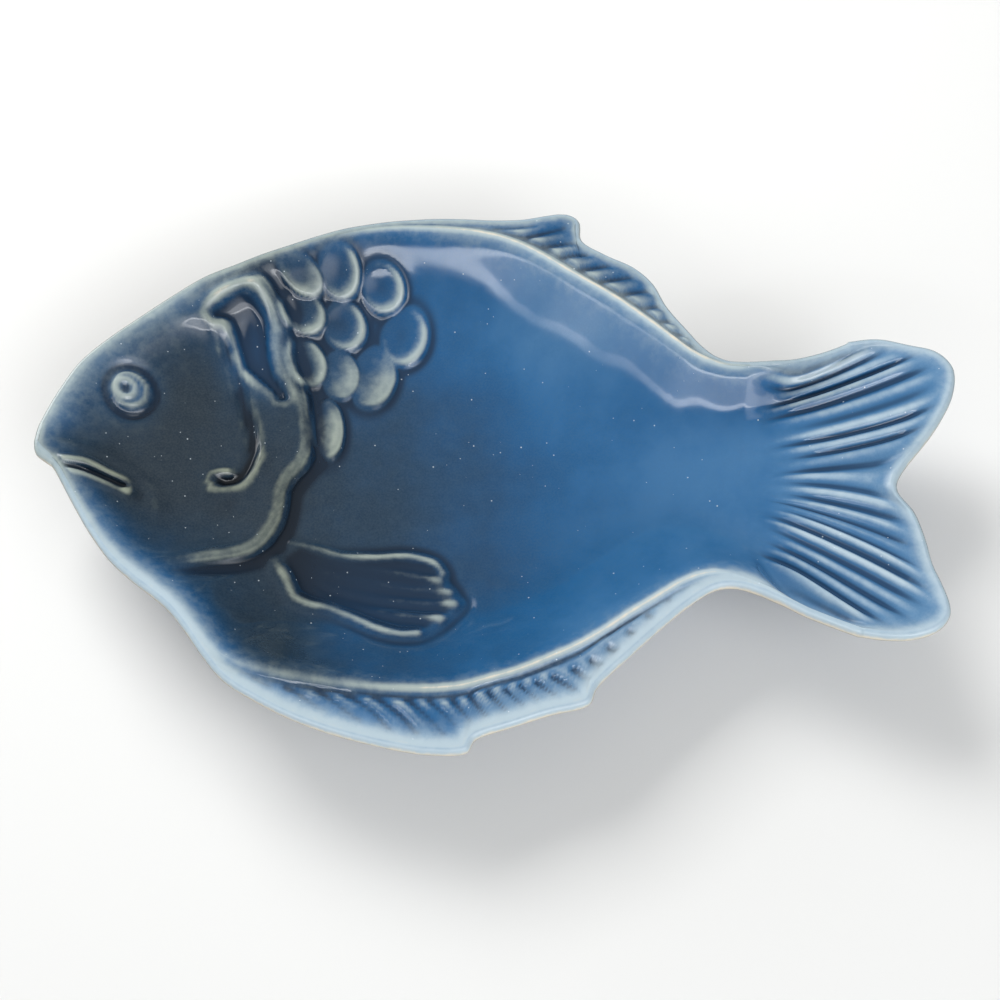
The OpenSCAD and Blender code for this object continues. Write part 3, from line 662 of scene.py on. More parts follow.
@dataclass
class SideFin:
    """The fan of the side fin: a ridge above, a hem below and four fingers with rounded tips."""

    outline: Table = ((-72, -32), (-66, -26), (-58.8, -27.4), (-50.6, -29), (-40, -28.5), (-29.4, -27.3),
                      (-20.6, -28.6), (-16.6, -32.4), (-15.0, -36.6), (-11.8, -41.0), (-10.0, -45),
                      (-13.6, -50.6), (-17.4, -55), (-22.4, -58.6), (-29.4, -59.2), (-36.5, -57.6),
                      (-44.7, -54), (-53, -51), (-60, -50.2), (-65, -47.4), (-69, -40.4))
    ridge: Table = ((-68, -26.8), (-58.8, -28.1), (-50.6, -29.7), (-40, -29.2), (-29.4, -28.0),
                    (-20.5, -29.8), (-17, -33.2))
    ridge_rise: Table = ((0, .9), (.3, 1.3), (.5, 1.9), (.9, 1.7), (1, 1.2))
    hem: Table = ((-72.5, -34), (-68.5, -39.6), (-64.4, -46.4), (-59.2, -49.0), (-53, -49.9), (-44.7, -52.8),
                  (-36.5, -56.4), (-29.4, -58.1), (-23.5, -57.4))
    hem_rise: Table = ((0, 1.5), (.10, 2.8), (.36, 2.4), (.5, 1.7), (.75, 2.1), (1, 1.4))
    fingers: Sequence[Table] = (
        ((-62, -31), (-52, -33.2), (-40, -33.8), (-28, -35), (-18.0, -36.6)),
        ((-60, -34.5), (-52, -37.4), (-40, -38.6), (-27, -39.8), (-14.6, -40.6)),
        ((-60, -37.5), (-54, -41.2), (-42, -43.4), (-28, -44.8), (-12.8, -44.8)),
        ((-62, -40.5), (-55, -45), (-42, -48.4), (-29, -50.2), (-16.4, -50.8)))
    tip_inset: float = 1.6
    rise: float = 0.9

    def _tips(self, x: Points, y: Points) -> Points:
        """Round swellings near the ends of the fingers."""
        ends = [(finger[-1][0] - self.tip_inset, finger[-1][1]) for finger in self.fingers]
        return sum(bump(distance(x, y, end), 2.6) for end in ends)

    def relief(self, x: Points, y: Points) -> Points:
        """Height of the fin over the body.

        Args:
            x: Places along the dish.
            y: Places across it.

        Returns:
            The heights in millimetres.
        """
        depth = depth_in(x, y, self.outline)
        height = self.rise * ease(-2.0, 1.6, depth) * ease(-72, -50, x) + .6 * self._tips(x, y)
        gap, _, place = nearest(x, y, through(self.ridge))
        height += soft_table(place, self.ridge_rise) * bump(gap, 1.9)
        gap, _, place = nearest(x, y, through(self.hem))
        height += soft_table(place, self.hem_rise) * bump(gap, 3.0 - place)
        for finger in self.fingers:
            gap, _, place = nearest(x, y, through(finger))
            strong = (.35 + ease(.35, .95, place)) * ease(0, .14, place)
            height += strong * bump(gap, 1.2 + .9 * place)
        return height - .75 * bump(depth + 2.7, 1.9) * ease(-60, -24, x)

    def tint(self, x: Points, y: Points) -> Tints:
        """Where the glaze is thinner and where it pooled: dark between the ridges."""
        return .10 * self._tips(x, y), .80 * ease(.4, 4.0, depth_in(x, y, self.outline))


@dataclass
class FinRays:
    """The pressed rays of the back and belly fins, and the groove between them and the crest."""

    groove_gap: float = 2.8
    groove_depth: float = 1.25
    depth: float = 1.6
    full_width: float = 12.0
    belly: Sequence[Table] = (
        ((-70, -80), (-60, -84.5)), ((-60, -82), (-47, -89)), ((-50, -83), (-37, -91)),
        ((-42, -83.5), (-33, -88.5), (-27, -94.5)), ((-33, -84), (-25, -89), (-19.5, -94.5)),
        ((-23.5, -84), (-16, -89.5), (-11.5, -94)), ((-16.5, -84.5), (-8.5, -91)), ((-9.5, -84), (-4, -89.5)),
        ((-4.5, -82.5), (1, -88.5)), ((1, -81), (7.5, -86.5)), ((6, -80), (13.5, -85.2)),
        ((10.6, -78.6), (19, -84)), ((15.2, -77.2), (24, -82)), ((20.4, -75.4), (29, -79.6)),
        ((26.6, -72.6), (32.4, -76)), ((32, -69.6), (38.6, -71.6)), ((37.4, -65.2), (44.5, -67)),
        ((43.6, -59.6), (50.6, -61.6)), ((49.2, -54), (56, -55.8)), ((55, -48.6), (61, -49.8)))
    back: Sequence[Table] = (
        ((-16, 91.4), (-6, 92.6)), ((-5, 90.2), (8, 93.6)), ((4.5, 86.4), (19.5, 92.6)),
        ((11.6, 82.8), (23.6, 86.2)), ((18.6, 78.6), (30.5, 82.6)), ((25.6, 73.6), (38.6, 78.6)),
        ((32.6, 69.2), (46, 73.8)), ((38.8, 63.8), (51.2, 68)), ((46.2, 58.4), (55, 61.6)),
        ((52, 53.4), (60, 56)), ((57.6, 48.8), (65, 50.4)), ((63, 44.6), (69.6, 46)))

    def relief(self, side: Side, x: Points, y: Points, inward: Points, wide: Points) -> Points:
        """Height of the rays and the groove over a drooping fin band, in millimetres.

        Args:
            side: Which fin.
            x: Places along the dish.
            y: Places across it.
            inward: Share of the way in from the edge to the crest.
            wide: Width of the fin there.

        Returns:
            The heights.
        """
        height = np.zeros(x.shape)
        strokes = self.back if side is Side.UPPER else self.belly
        for points in strokes:
            line = through(points, 5)
            near = (x > line[:, 0].min() - 6) & (x < line[:, 0].max() + 6)
            gap, _, place = nearest(x[near], y[near], line)
            height[near] -= self.depth * bump(gap, 1.15 + .6 * place) * (1 - .45 * place)
            height[near] += .16 * self.depth * bump(gap - 2.9, 1.4) * (1 - .5 * place)
        full = np.clip(wide / self.full_width, 0.0, 1.0)
        from_crest = (1 - inward) * wide
        from_edge = inward * wide
        groove = bump(from_crest - self.groove_gap, 1.1) * full
        band = ease(self.groove_gap - .2, self.groove_gap + 1.8, from_crest) * ease(.8, 3.6, from_edge)
        return height * band * full - self.groove_depth * groove


@dataclass
class TailRibs:
    """The ribs that fan out over the tail."""

    rise: float = 1.0

    def relief(self, rib: Points, t: Points) -> Points:
        """Height of the ribs over the plain tail.

        Args:
            rib: Numbers of the tail's lines, as DishForm.tail_points takes them.
            t: Places along them, from 0 at the root to 1 at the end.

        Returns:
            The heights in millimetres.
        """
        sharp = np.cos(math.pi * rib) - .10 * np.cos(2 * math.pi * rib)
        outer = ease(3, 13, np.abs(rib - LAST_RIB / 2))
        along = t - .05 * np.sin(rib * 1.3 + .4)
        start = (1 - outer) * ease(.06, .54, along) + outer * ease(.0, .40, along)
        sides = ease(.2, 1.8, rib) * ease(.2, 1.8, LAST_RIB - rib)
        uneven = 1 + .30 * np.sin(rib * 1.9 + 1.0) * np.cos(rib * .53) + .18 * np.sin(rib * .95)
        return self.rise * sharp * start * sides * uneven * ease(.0, .22, 1 - t)


# The grid that the face, the back and the clay share


@dataclass
class DishGrid:
    """A grid of points over the dish, from the nose to the tail and from edge to edge."""

    form: DishForm
    density: float = 1.0
    fin_lines: int = 15
    across_lines: int = 190
    tail_rows: int = 50
    section_rows: Sequence[int] = (6, 8, 9, *[12] * 23, *[8] * 4)
    nose_swell: float = 0.3
    corner_reach: float = 20.0

    def __post_init__(self) -> None:
        """Lays out the grid, its outline and its edge normals."""
        steps = [max(2, round(n * self.density)) for n in self.section_rows]
        self.at = np.concatenate([np.arange(n) / n + i for i, n in enumerate(steps)] + [[self.form.last]])
        self.body = len(self.at)
        self.tail_t = np.linspace(0.0, 1.0, max(8, round(self.tail_rows * self.density)) + 1)[1:]
        self.fins = max(5, round(self.fin_lines * self.density))
        middle = max(24, round(self.across_lines * self.density))
        self.fin_t = 1 - (1 - np.linspace(0.0, 1.0, self.fins + 1)[:-1]) ** 1.15
        self.cross_t = np.linspace(0.0, 1.0, middle + 1)
        self.columns = 2 * self.fins + middle + 1
        self.rows = self.body + len(self.tail_t)
        self._lay_out()

    @property
    def places(self) -> tuple[Points, Points]:
        """The grid's places along the dish and across it."""
        return self.plan[..., 0], self.plan[..., 1]

    def _lay_out(self) -> None:
        """Places every point of the grid in plan."""
        form = self.form
        cut = form.section(self.at)
        rim_low, crest_low, crest_high, rim_high = cut[-1, ::-1]
        spread = np.concatenate([
            rim_low + (crest_low - rim_low) * self.fin_t[:, None],
            crest_low + (crest_high - crest_low) * self.cross_t[:, None],
            (rim_high + (crest_high - rim_high) * self.fin_t[:, None])[::-1]])
        lines = np.linspace(0.0, LAST_RIB, 681)
        roots = form.tail_points(lines, np.array([0.0]))[0, :, 1]
        self.rib = np.interp(spread[:, 1], roots, lines)
        tail = form.tail_points(self.rib, self.tail_t)
        self._lay_edge(cut, tail)
        self.plan = np.zeros((self.rows, self.columns, 2))
        self.inward = np.ones((self.rows, self.columns))
        self.wide = np.zeros((self.rows, self.columns))
        marks = np.cumsum([self.rows, self.columns - 2, self.rows])
        low, end, high, nose = np.split(self.inner, marks)
        self._lay_body(cut, low, high[::-1])
        self._lay_tail(tail, low, end, high[::-1])
        self.plan[0, 1:-1] = nose[::-1]

    def _lay_edge(self, cut: Points, tail: Points) -> None:
        """Places the outline of the dish, its normals and the line that its rim is rounded about.

        Args:
            cut: The body's cross-sections.
            tail: The lines of the tail.
        """
        share = np.linspace(0, 1, self.columns)[1:-1, None]
        nose = cut[0, 0] + (cut[0, 3] - cut[0, 0]) * share
        nose[:, 0] -= self.nose_swell * np.sin(math.pi * share[:, 0])
        edge = np.concatenate([cut[:, 3], tail[:, 0], tail[-1, 1:-1], tail[::-1, -1], cut[::-1, 0], nose])
        edge = np.clip(edge, *self.form.limits())
        self.out = self._normals(edge)
        self.inner = edge - self.out * self.form.rim_edge / 2
        self.loop = np.concatenate([
            np.arange(self.rows) * self.columns,
            (self.rows - 1) * self.columns + np.arange(1, self.columns - 1),
            (np.arange(self.rows) * self.columns + self.columns - 1)[::-1],
            np.arange(self.columns - 2, 0, -1)])

    def _lay_body(self, cut: Points, low: Points, high: Points) -> None:
        """Places the rows from the nose to the root of the tail.

        Args:
            cut: The body's cross-sections.
            low: The lower edge's points.
            high: The upper edge's points.
        """
        body = slice(0, self.body)
        band = np.arange(self.fins)
        for edge, crest, columns in ((low[body], cut[:, 2], band), (high[body], cut[:, 1], -1 - band)):
            self.plan[body, columns] = edge[:, None] + (crest - edge)[:, None] * self.fin_t[:, None]
            self.inward[body, columns] = self.fin_t
            self.wide[body, columns] = np.hypot(*(crest - edge).T)[:, None]
        across = cut[:, 2][:, None] + (cut[:, 1] - cut[:, 2])[:, None] * self.cross_t[:, None]
        bow = spline(self.form.rows[:, 8], self.at) * self.form.length
        across[..., 0] += bow[:, None] * np.interp(self.cross_t, *self.form.smooth_tables["bow"])
        self.plan[body, self.fins:-self.fins] = across

    def _lay_tail(self, tail: Points, low: Points, end: Points, high: Points) -> None:
        """Places the rows of the tail, drawn to its edges near them.

        Args:
            tail: The lines of the tail.
            low: The lower edge's points.
            end: The points of the tail's end.
            high: The upper edge's points.
        """
        step = self.plan[self.body - 1] - self.form.tail_points(self.rib, np.array([0.0]))[0]
        tail = tail + step * (1 - ease(0.0, 0.5, self.tail_t))[:, None, None]
        share = self.rib / LAST_RIB
        near_low, near_high = (1 - share) ** 9, share**9
        low, high = low[self.body:], high[self.body:]
        shift = ((low - tail[:, 0])[:, None] * near_low[:, None]
                 + (high - tail[:, -1])[:, None] * near_high[:, None])
        ends = np.concatenate([low[-1:], end, high[-1:]]) - tail[-1]
        rest = (1 - near_low - near_high)[:, None] * (self.tail_t**6)[:, None, None]
        self.plan[self.body:] = tail + shift + ends * rest
        self.plan[-1, 1:-1] = end
        self.plan[self.body:, 0], self.plan[self.body:, -1] = low, high

    @staticmethod
    def _normals(edge: Points) -> Points:
        """Outward normals of the closed outline, eased over a few points.

        Args:
            edge: The outline's points.

        Returns:
            One normal for each point.
        """
        reach = 0.9
        sizes = np.hypot(*(np.roll(edge, -1, 0) - edge).T)
        marks = np.concatenate([[0.0], np.cumsum(sizes)])
        around = np.concatenate([edge, edge[:1]])
        ahead, behind = (
            np.stack([np.interp((marks[:-1] + shift) % marks[-1], marks, around[:, k]) for k in (0, 1)], 1)
            for shift in (reach, -reach))
        run = ahead - behind
        return np.stack([run[:, 1], -run[:, 0]], 1) / np.maximum(np.hypot(*run.T), TINY)[:, None]

    def fin_bands(self) -> Points:
        """Tells which points lie on the drooping bands of the fins.

        Returns:
            True there and False elsewhere.
        """
        bands = np.zeros((self.rows, self.columns), bool)
        bands[:self.body, :self.fins] = bands[:self.body, -self.fins:] = True
        return bands

    def edge_gap(self, x: Points, y: Points, every: int) -> Points:
        """Distance to the line that the rim is rounded about, with every so many of its points."""
        return nearest(x, y, np.concatenate([self.inner[::every], self.inner[:1]]))[0]

    def raised(self, z: Points) -> Points:
        """The grid's points at a height, as rows of three."""
        return np.concatenate([self.plan, z[..., None]], -1).reshape(-1, 3)

    def plain(self) -> tuple[Points, Points]:
        """Works out the plain dish over the grid, without its relief.

        Returns:
            Its heights and the distances in from the crest.
        """
        form = self.form
        x, y = self.places
        away = form.crest_gap(x, y)
        bands = self.fin_bands()
        droop = form.fin_droop * np.clip(self.wide / form.fin_full, 0.0, 1.0) * ease(0, 1, 1 - self.inward)
        z = np.where(bands, form.rim_at(x) - droop, form.bowl(x, np.where(bands, 0.0, away)))
        root = form.section(np.array([float(form.last)]))[0]
        tail = slice(self.body, None)
        opened = ease(0.0, 0.45, self.tail_t)[:, None]
        lift = np.zeros(x.shape)
        lift[tail] = (self.tail_t**7)[:, None]
        from_wall = np.full(x[tail].shape, np.inf)
        for rib, crest, rim in ((LAST_RIB, 1, 0), (0.0, 2, 3)):
            side = form.tail_points(np.array([rib]), np.concatenate([[0.0], self.tail_t]))[:, 0]
            near = nearest(x[tail], y[tail], side)[0]
            lift[tail] = np.maximum(lift[tail], 1 - ease(1.0, 5.0, near))
            band = np.hypot(*(root[crest] - root[rim])) * (1 - opened)
            from_wall = np.minimum(from_wall, np.maximum(0, near - band) * (1 + 2 * opened))
        z[tail] = form.bowl(x[tail], from_wall)
        z = self._smoothed(root, z + (form.rim_at(x) - z) * lift)
        highest = form.rim_height + form.rim_sweep - form.box_margin - form.glaze
        return np.minimum(z, highest), away

    def _smoothed(self, root: Points, z: Points) -> Points:
        """Eases the corners between the body's last section and the tail.

        Args:
            root: The body's last section.
            z: Heights over the grid.

        Returns:
            The eased heights.
        """
        near = sum(bump(distance(*self.places, root[crest]), self.corner_reach) for crest in (1, 2))
        for _ in range(round(40 * self.density**2)):
            around = z[:-2, 1:-1] + z[2:, 1:-1] + z[1:-1, :-2] + z[1:-1, 2:]
            z[1:-1, 1:-1] += (around / 4 - z[1:-1, 1:-1]) * .5 * near[1:-1, 1:-1]
        return z

    def quads(self, turned: bool = False) -> Points:
        """The grid's faces.

        Args:
            turned: True where their fronts are to face down.

        Returns:
            Rows of four corners.
        """
        i = np.arange(self.rows - 1)[:, None] * self.columns + np.arange(self.columns - 1)[None, :]
        faces = np.stack([i, i + self.columns, i + self.columns + 1, i + 1], -1).reshape(-1, 4)
        return faces[:, ::-1] if turned else faces

    def rim_rings(self, top: Points, start: float, stop: float, count: int, swell: float = 0.0) -> Points:
        """Rings of points round the edge of the rim.

        Args:
            top: Height of the face along the loop.
            start: Angle of the first ring, where 0 is the top of the rim and 90 its widest line.
            stop: Angle of the last ring, in degrees.
            count: How many rings.
            swell: How far the rings stand out from the clay.

        Returns:
            Points in millimetres, as rings by loop by three.
        """
        half = self.form.rim_edge / 2
        rings = []
        for angle in np.radians(np.linspace(start, stop, count)):
            plan = self.inner + self.out * (half + swell) * math.sin(angle)
            rings.append(np.column_stack([plan, top - half + (half + swell) * math.cos(angle)]))
        return np.array(rings)


def strip_faces(rings: Sequence[Points]) -> Points:
    """Faces between closed rings of the same number of points.

    Args:
        rings: The rings' point numbers, in the order in which the surface runs outwards and down.

    Returns:
        Rows of four corners.
    """
    faces = [np.stack([a, b, np.roll(b, -1), np.roll(a, -1)], 1) for a, b in zip(rings[:-1], rings[1:])]
    return np.concatenate(faces)


@dataclass
class GlazeFlow:
    """Where the molten glaze ran thin off the crests and where it pooled in the hollows."""

    cell: float = 0.5
    margin: int = 24

    def _blur(self, grid: Points, reach: float) -> Points:
        """Blurs a plan grid.

        Args:
            grid: The values of its cells.
            reach: How far they spread, in millimetres.

        Returns:
            The blurred values.
        """
        ways = np.hypot(np.fft.fftfreq(grid.shape[0])[:, None], np.fft.rfftfreq(grid.shape[1]))
        kernel = np.exp(-2 * (math.pi * reach / self.cell * ways) ** 2)
        return np.fft.irfft2(np.fft.rfft2(grid) * kernel, s=grid.shape)

    def proud(self, plan: Points, height: Points, reaches: Sequence[float]) -> list[Points]:
        """How far each point of a worked surface stands over its surroundings.

        Args:
            plan: The grid's places in plan.
            height: Height of the relief.
            reaches: How wide the surroundings are taken, in millimetres.

        Returns:
            For each reach, the heights over the mean of the surroundings.
        """
        x, y = plan[..., 0].ravel(), plan[..., 1].ravel()
        i, j = ((v - v.min()) / self.cell + self.margin for v in (x, y))
        a, b = np.floor(i).astype(int), np.floor(j).astype(int)
        shape = (a.max() + self.margin, b.max() + self.margin)
        corners = [((a + di) * shape[1] + b + dj, np.abs(1 - di - (i - a)) * np.abs(1 - dj - (j - b)))
                   for di in (0, 1) for dj in (0, 1)]
        du, dv = np.gradient(plan, axis=0), np.gradient(plan, axis=1)
        area = np.abs(du[..., 0] * dv[..., 1] - du[..., 1] * dv[..., 0]).ravel() + 1e-6
        sums, marks = np.zeros((2, shape[0] * shape[1]))
        for place, share in corners:
            sums += np.bincount(place, share * area * height.ravel(), minlength=len(sums))
            marks += np.bincount(place, share * area, minlength=len(marks))
        sums, marks = sums.reshape(shape), marks.reshape(shape)
        found = []
        for reach in reaches:
            mean = (self._blur(sums, reach) / np.maximum(self._blur(marks, reach), 1e-5)).ravel()
            around = sum(mean[place] * share for place, share in corners)
            found.append((height.ravel() - around).reshape(height.shape))
        return found


@dataclass
class FaceRelief:
    """All the relief of the face."""

    eye: Eye = field(default_factory=Eye)
    mouth: Mouth = field(default_factory=Mouth)
    cheek: Cheek = field(default_factory=Cheek)
    gill_cover: GillCover = field(default_factory=GillCover)
    scales: Scales = field(default_factory=Scales)
    side_fin: SideFin = field(default_factory=SideFin)
    rays: FinRays = field(default_factory=FinRays)
    ribs: TailRibs = field(default_factory=TailRibs)

    def tints(self, grid: DishGrid) -> Tints:
        """Where the relief's own work thins the glaze or lets it pool.

        Args:
            grid: The grid of points.

        Returns:
            How thin the glaze is and how far it pooled, over the grid.
        """
        x, y = grid.places
        thin, pool = np.zeros((2, *x.shape))
        for work, low, high in (
                (self.eye, (-140, 8), (-113, 34)), (self.cheek, (-108, 22), (-70, 66)),
                (self.gill_cover, (-122, -64), (-54, 82)), (self.scales, (-90, -4), (-18, 86)),
                (self.side_fin, (-82, -66), (-4, -22))):
            near = window(x, y, low, high)
            more_thin, more_pool = work.tint(x[near], y[near])
            thin[near] += more_thin
            pool[near] += more_pool
        return thin, pool

    def over(self, grid: DishGrid, away: Points) -> Points:
        """Height of the relief over the plain face.

        Args:
            grid: The grid of points.
            away: Distance in from the crest of the rim.

        Returns:
            The heights in millimetres, one for each point of the grid.
        """
        x, y = grid.places
        relief = np.zeros(x.shape)
        bowl = ~grid.fin_bands()
        bowl[grid.body:] = False
        still = ease(1.5, 7.0, away)
        for work, low, high in (
                (self.eye, (-140, 8), (-113, 34)), (self.mouth, (-152, -45), (-100, 14)),
                (self.cheek, (-152, -36), (-66, 72)), (self.gill_cover, (-122, -64), (-54, 82)),
                (self.scales, (-88, -8), (-20, 90)), (self.side_fin, (-82, -72), (2, -16))):
            near = bowl & window(x, y, low, high)
            fade = ease(.3, 2.6, away[near]) if work is self.mouth else still[near]
            relief[near] += work.relief(x[near], y[near]) * fade
        body = slice(0, grid.body)
        for side, columns in ((Side.LOWER, slice(0, grid.fins)), (Side.UPPER, slice(-grid.fins, None))):
            band = (body, columns)
            relief[band] += self.rays.relief(side, x[band], y[band], grid.inward[band], grid.wide[band])
        relief[grid.body:] += self.ribs.relief(*np.meshgrid(grid.rib, grid.tail_t))
        return relief


# Finishes


class NodeSheet:
    """Lays out the nodes of a material or a group."""

    def __init__(self, tree: bpy.types.NodeTree) -> None:
        """Starts on a node tree."""
        self.tree = tree
        self.column = 0

    def add(self, kind: str, label: str = "", **values: object) -> bpy.types.Node:
        """Adds a node.

        Args:
            kind: The node's type.
            label: A plain label.
            **values: Its properties; a name that starts with in_ sets the input of that number.

        Returns:
            The node.
        """
        node = self.tree.nodes.new(kind)
        node.location = (self.column * NODE_STEP, 0)
        self.column += 1
        node.label = label
        for key, value in values.items():
            if key.startswith("in_"):
                node.inputs[int(key[3:])].default_value = value
            else:
                setattr(node, key, value)
        return node

    def link(self, value: object, socket: Socket) -> None:
        """Feeds an input.

        Args:
            value: The output to link, or a plain number or colour to set.
            socket: The input.
        """
        if isinstance(value, Socket):
            self.tree.links.new(value, socket)
        else:
            socket.default_value = (*value, 1.0) if isinstance(value, tuple) else value

    def mix(self, share: Socket, first: object, second: object, label: str = "") -> Socket:
        """Mixes two colours by a share.

        Args:
            share: The output that gives the share of the second.
            first: A colour or an output.
            second: A colour or an output.
            label: A plain label.

        Returns:
            The mixed colour's output.
        """
        node = self.add("ShaderNodeMix", label, data_type="RGBA", clamp_factor=True)
        for value, socket in ((share, 0), (first, 6), (second, 7)):
            self.link(value, node.inputs[socket])
        return node.outputs[2]

    def stops(self, value: Socket, rows: Sequence[tuple[float, Colour]], label: str) -> Socket:
        """Runs a value through a row of colours.

        Args:
            value: The output to map.
            rows: Places from 0 to 1, each with its colour.
            label: A plain label.

        Returns:
            The colour's output.
        """
        node = self.add("ShaderNodeValToRGB", label)
        ramp = node.color_ramp
        ramp.interpolation = "B_SPLINE"
        while len(ramp.elements) < len(rows):
            ramp.elements.new(0.5)
        for element, (place, colour) in zip(ramp.elements, rows):
            element.position = place
            element.color = (*colour, 1.0)
        self.link(value, node.inputs[0])
        return node.outputs[0]

    def math(self, how: str, first: object, second: object = 0.0, clamp: bool = False) -> Socket:
        """Works two values out.

        Args:
            how: The operation.
            first: A number or an output.
            second: A number or an output.
            clamp: True to hold the result between 0 and 1.

        Returns:
            The result's output.
        """
        node = self.add("ShaderNodeMath", how.lower(), operation=how, use_clamp=clamp)
        self.link(first, node.inputs[0])
        self.link(second, node.inputs[1])
        return node.outputs[0]

    def ramp(self, value: Socket, low: float, high: float, to_low: float = 0.0,
             to_high: float = 1.0) -> Socket:
        """Maps a value smoothly from one range to another.

        Args:
            value: The output to map.
            low: The value that gives to_low.
            high: The value that gives to_high.
            to_low: The lower result.
            to_high: The upper result.

        Returns:
            The result's output.
        """
        node = self.add("ShaderNodeMapRange", "range", interpolation_type="SMOOTHSTEP", clamp=True)
        self.link(value, node.inputs[0])
        for number, setting in zip((1, 2, 3, 4), (low, high, to_low, to_high)):
            node.inputs[number].default_value = setting
        return node.outputs[0]

    def surface(self, label: str, colour: Socket, rough: Socket, height: Socket, lift: tuple[float, float],
                **settings: float) -> None:
        """Ends a material with its shader, its bump and its output.

        Args:
            label: A plain label.
            colour: The output that gives its colour.
            rough: The output that gives its roughness.
            height: The output that gives its height.
            lift: The bump's strength and its distance in metres.
            **settings: The shader's other inputs by name.
        """
        shader = self.add("ShaderNodeBsdfPrincipled", label)
        bumps = self.add("ShaderNodeBump", "relief", in_0=lift[0], in_1=lift[1])
        self.link(height, bumps.inputs["Height"])
        for value, name in ((colour, "Base Color"), (rough, "Roughness"), (bumps.outputs[0], "Normal")):
            self.link(value, shader.inputs[name])
        for name, value in settings.items():
            shader.inputs[name].default_value = value
        self.link(shader.outputs[0], self.add("ShaderNodeOutputMaterial").inputs[0])


def blank_sheet(owner: bpy.types.Material | bpy.types.World) -> NodeSheet:
    """Clears the nodes of a material or a world.

    Args:
        owner: The material or the world.

    Returns:
        A sheet to lay its new nodes out on.
    """
    owner.use_nodes = True
    owner.node_tree.nodes.clear()
    return NodeSheet(owner.node_tree)


class Effect(Enum):
    """Shader groups that more than one finish uses."""

    MOTTLE = "Clouded colour"
    FLECK = "Scattered flecks"
    RIPPLE = "Surface ripple"


def effect_group(effect: Effect) -> bpy.types.NodeTree:
    """Builds a shared effect once.

    Args:
        effect: Which effect.

    Returns:
        Its node group, with a mask or a height as its output.
    """
    if effect.value in bpy.data.node_groups:
        return bpy.data.node_groups[effect.value]
    group = bpy.data.node_groups.new(effect.value, "ShaderNodeTree")
    sheet = NodeSheet(group)

    def socket(name: str, way: str, value: float | None = None) -> None:
        """Adds a number's socket to the group.

        Args:
            name: Its name.
            way: INPUT or OUTPUT.
            value: Its plain value, for an input.
        """
        made = group.interface.new_socket(name=name, in_out=way, socket_type="NodeSocketFloat")
        if value is not None:
            made.default_value = value

    socket("Scale", "INPUT", 100.0)
    if effect is Effect.FLECK:
        socket("Size", "INPUT", 0.1)
        socket("Share", "INPUT", 0.1)
    socket("Height" if effect is Effect.RIPPLE else "Mask", "OUTPUT")
    start, end = sheet.add("NodeGroupInput"), sheet.add("NodeGroupOutput")
    place = sheet.add("ShaderNodeTexCoord", "place").outputs["Object"]
    if effect is Effect.FLECK:
        spots = sheet.add("ShaderNodeTexVoronoi", "spots", feature="F1", in_5=1.0)
        sheet.link(place, spots.inputs["Vector"])
        sheet.link(start.outputs["Scale"], spots.inputs["Scale"])
        chance = sheet.add("ShaderNodeSeparateColor", "chance")
        sheet.link(spots.outputs["Color"], chance.inputs[0])
        chosen = sheet.math("LESS_THAN", chance.outputs[0], start.outputs["Share"])
        size = sheet.math("MULTIPLY", start.outputs["Size"], chance.outputs[1])
        near = sheet.math("SUBTRACT", 1.0, sheet.math("DIVIDE", spots.outputs["Distance"], size), True)
        result = sheet.math("MULTIPLY", sheet.ramp(near, 0.0, 0.5), chosen)
    else:
        coarse = sheet.add("ShaderNodeTexNoise", "clouds")
        coarse.inputs["Detail"].default_value = 2.0 if effect is Effect.RIPPLE else 5.0
        coarse.inputs["Roughness"].default_value = 0.45 if effect is Effect.RIPPLE else 0.62
        sheet.link(place, coarse.inputs["Vector"])
        sheet.link(start.outputs["Scale"], coarse.inputs["Scale"])
        result = coarse.outputs["Fac"]
        if effect is Effect.MOTTLE:
            result = sheet.ramp(result, 0.32, 0.68)
    sheet.link(result, end.inputs[0])
    return group


def place_effect(sheet: NodeSheet, effect: Effect, label: str, **values: float) -> Socket:
    """Places a shared effect in a material.

    Args:
        sheet: The material's sheet.
        effect: Which effect.
        label: A plain label.
        **values: The group's inputs by name.

    Returns:
        The effect's output.
    """
    node = sheet.add("ShaderNodeGroup", label, node_tree=effect_group(effect))
    for name, value in values.items():
        node.inputs[name].default_value = value
    return node.outputs[0]


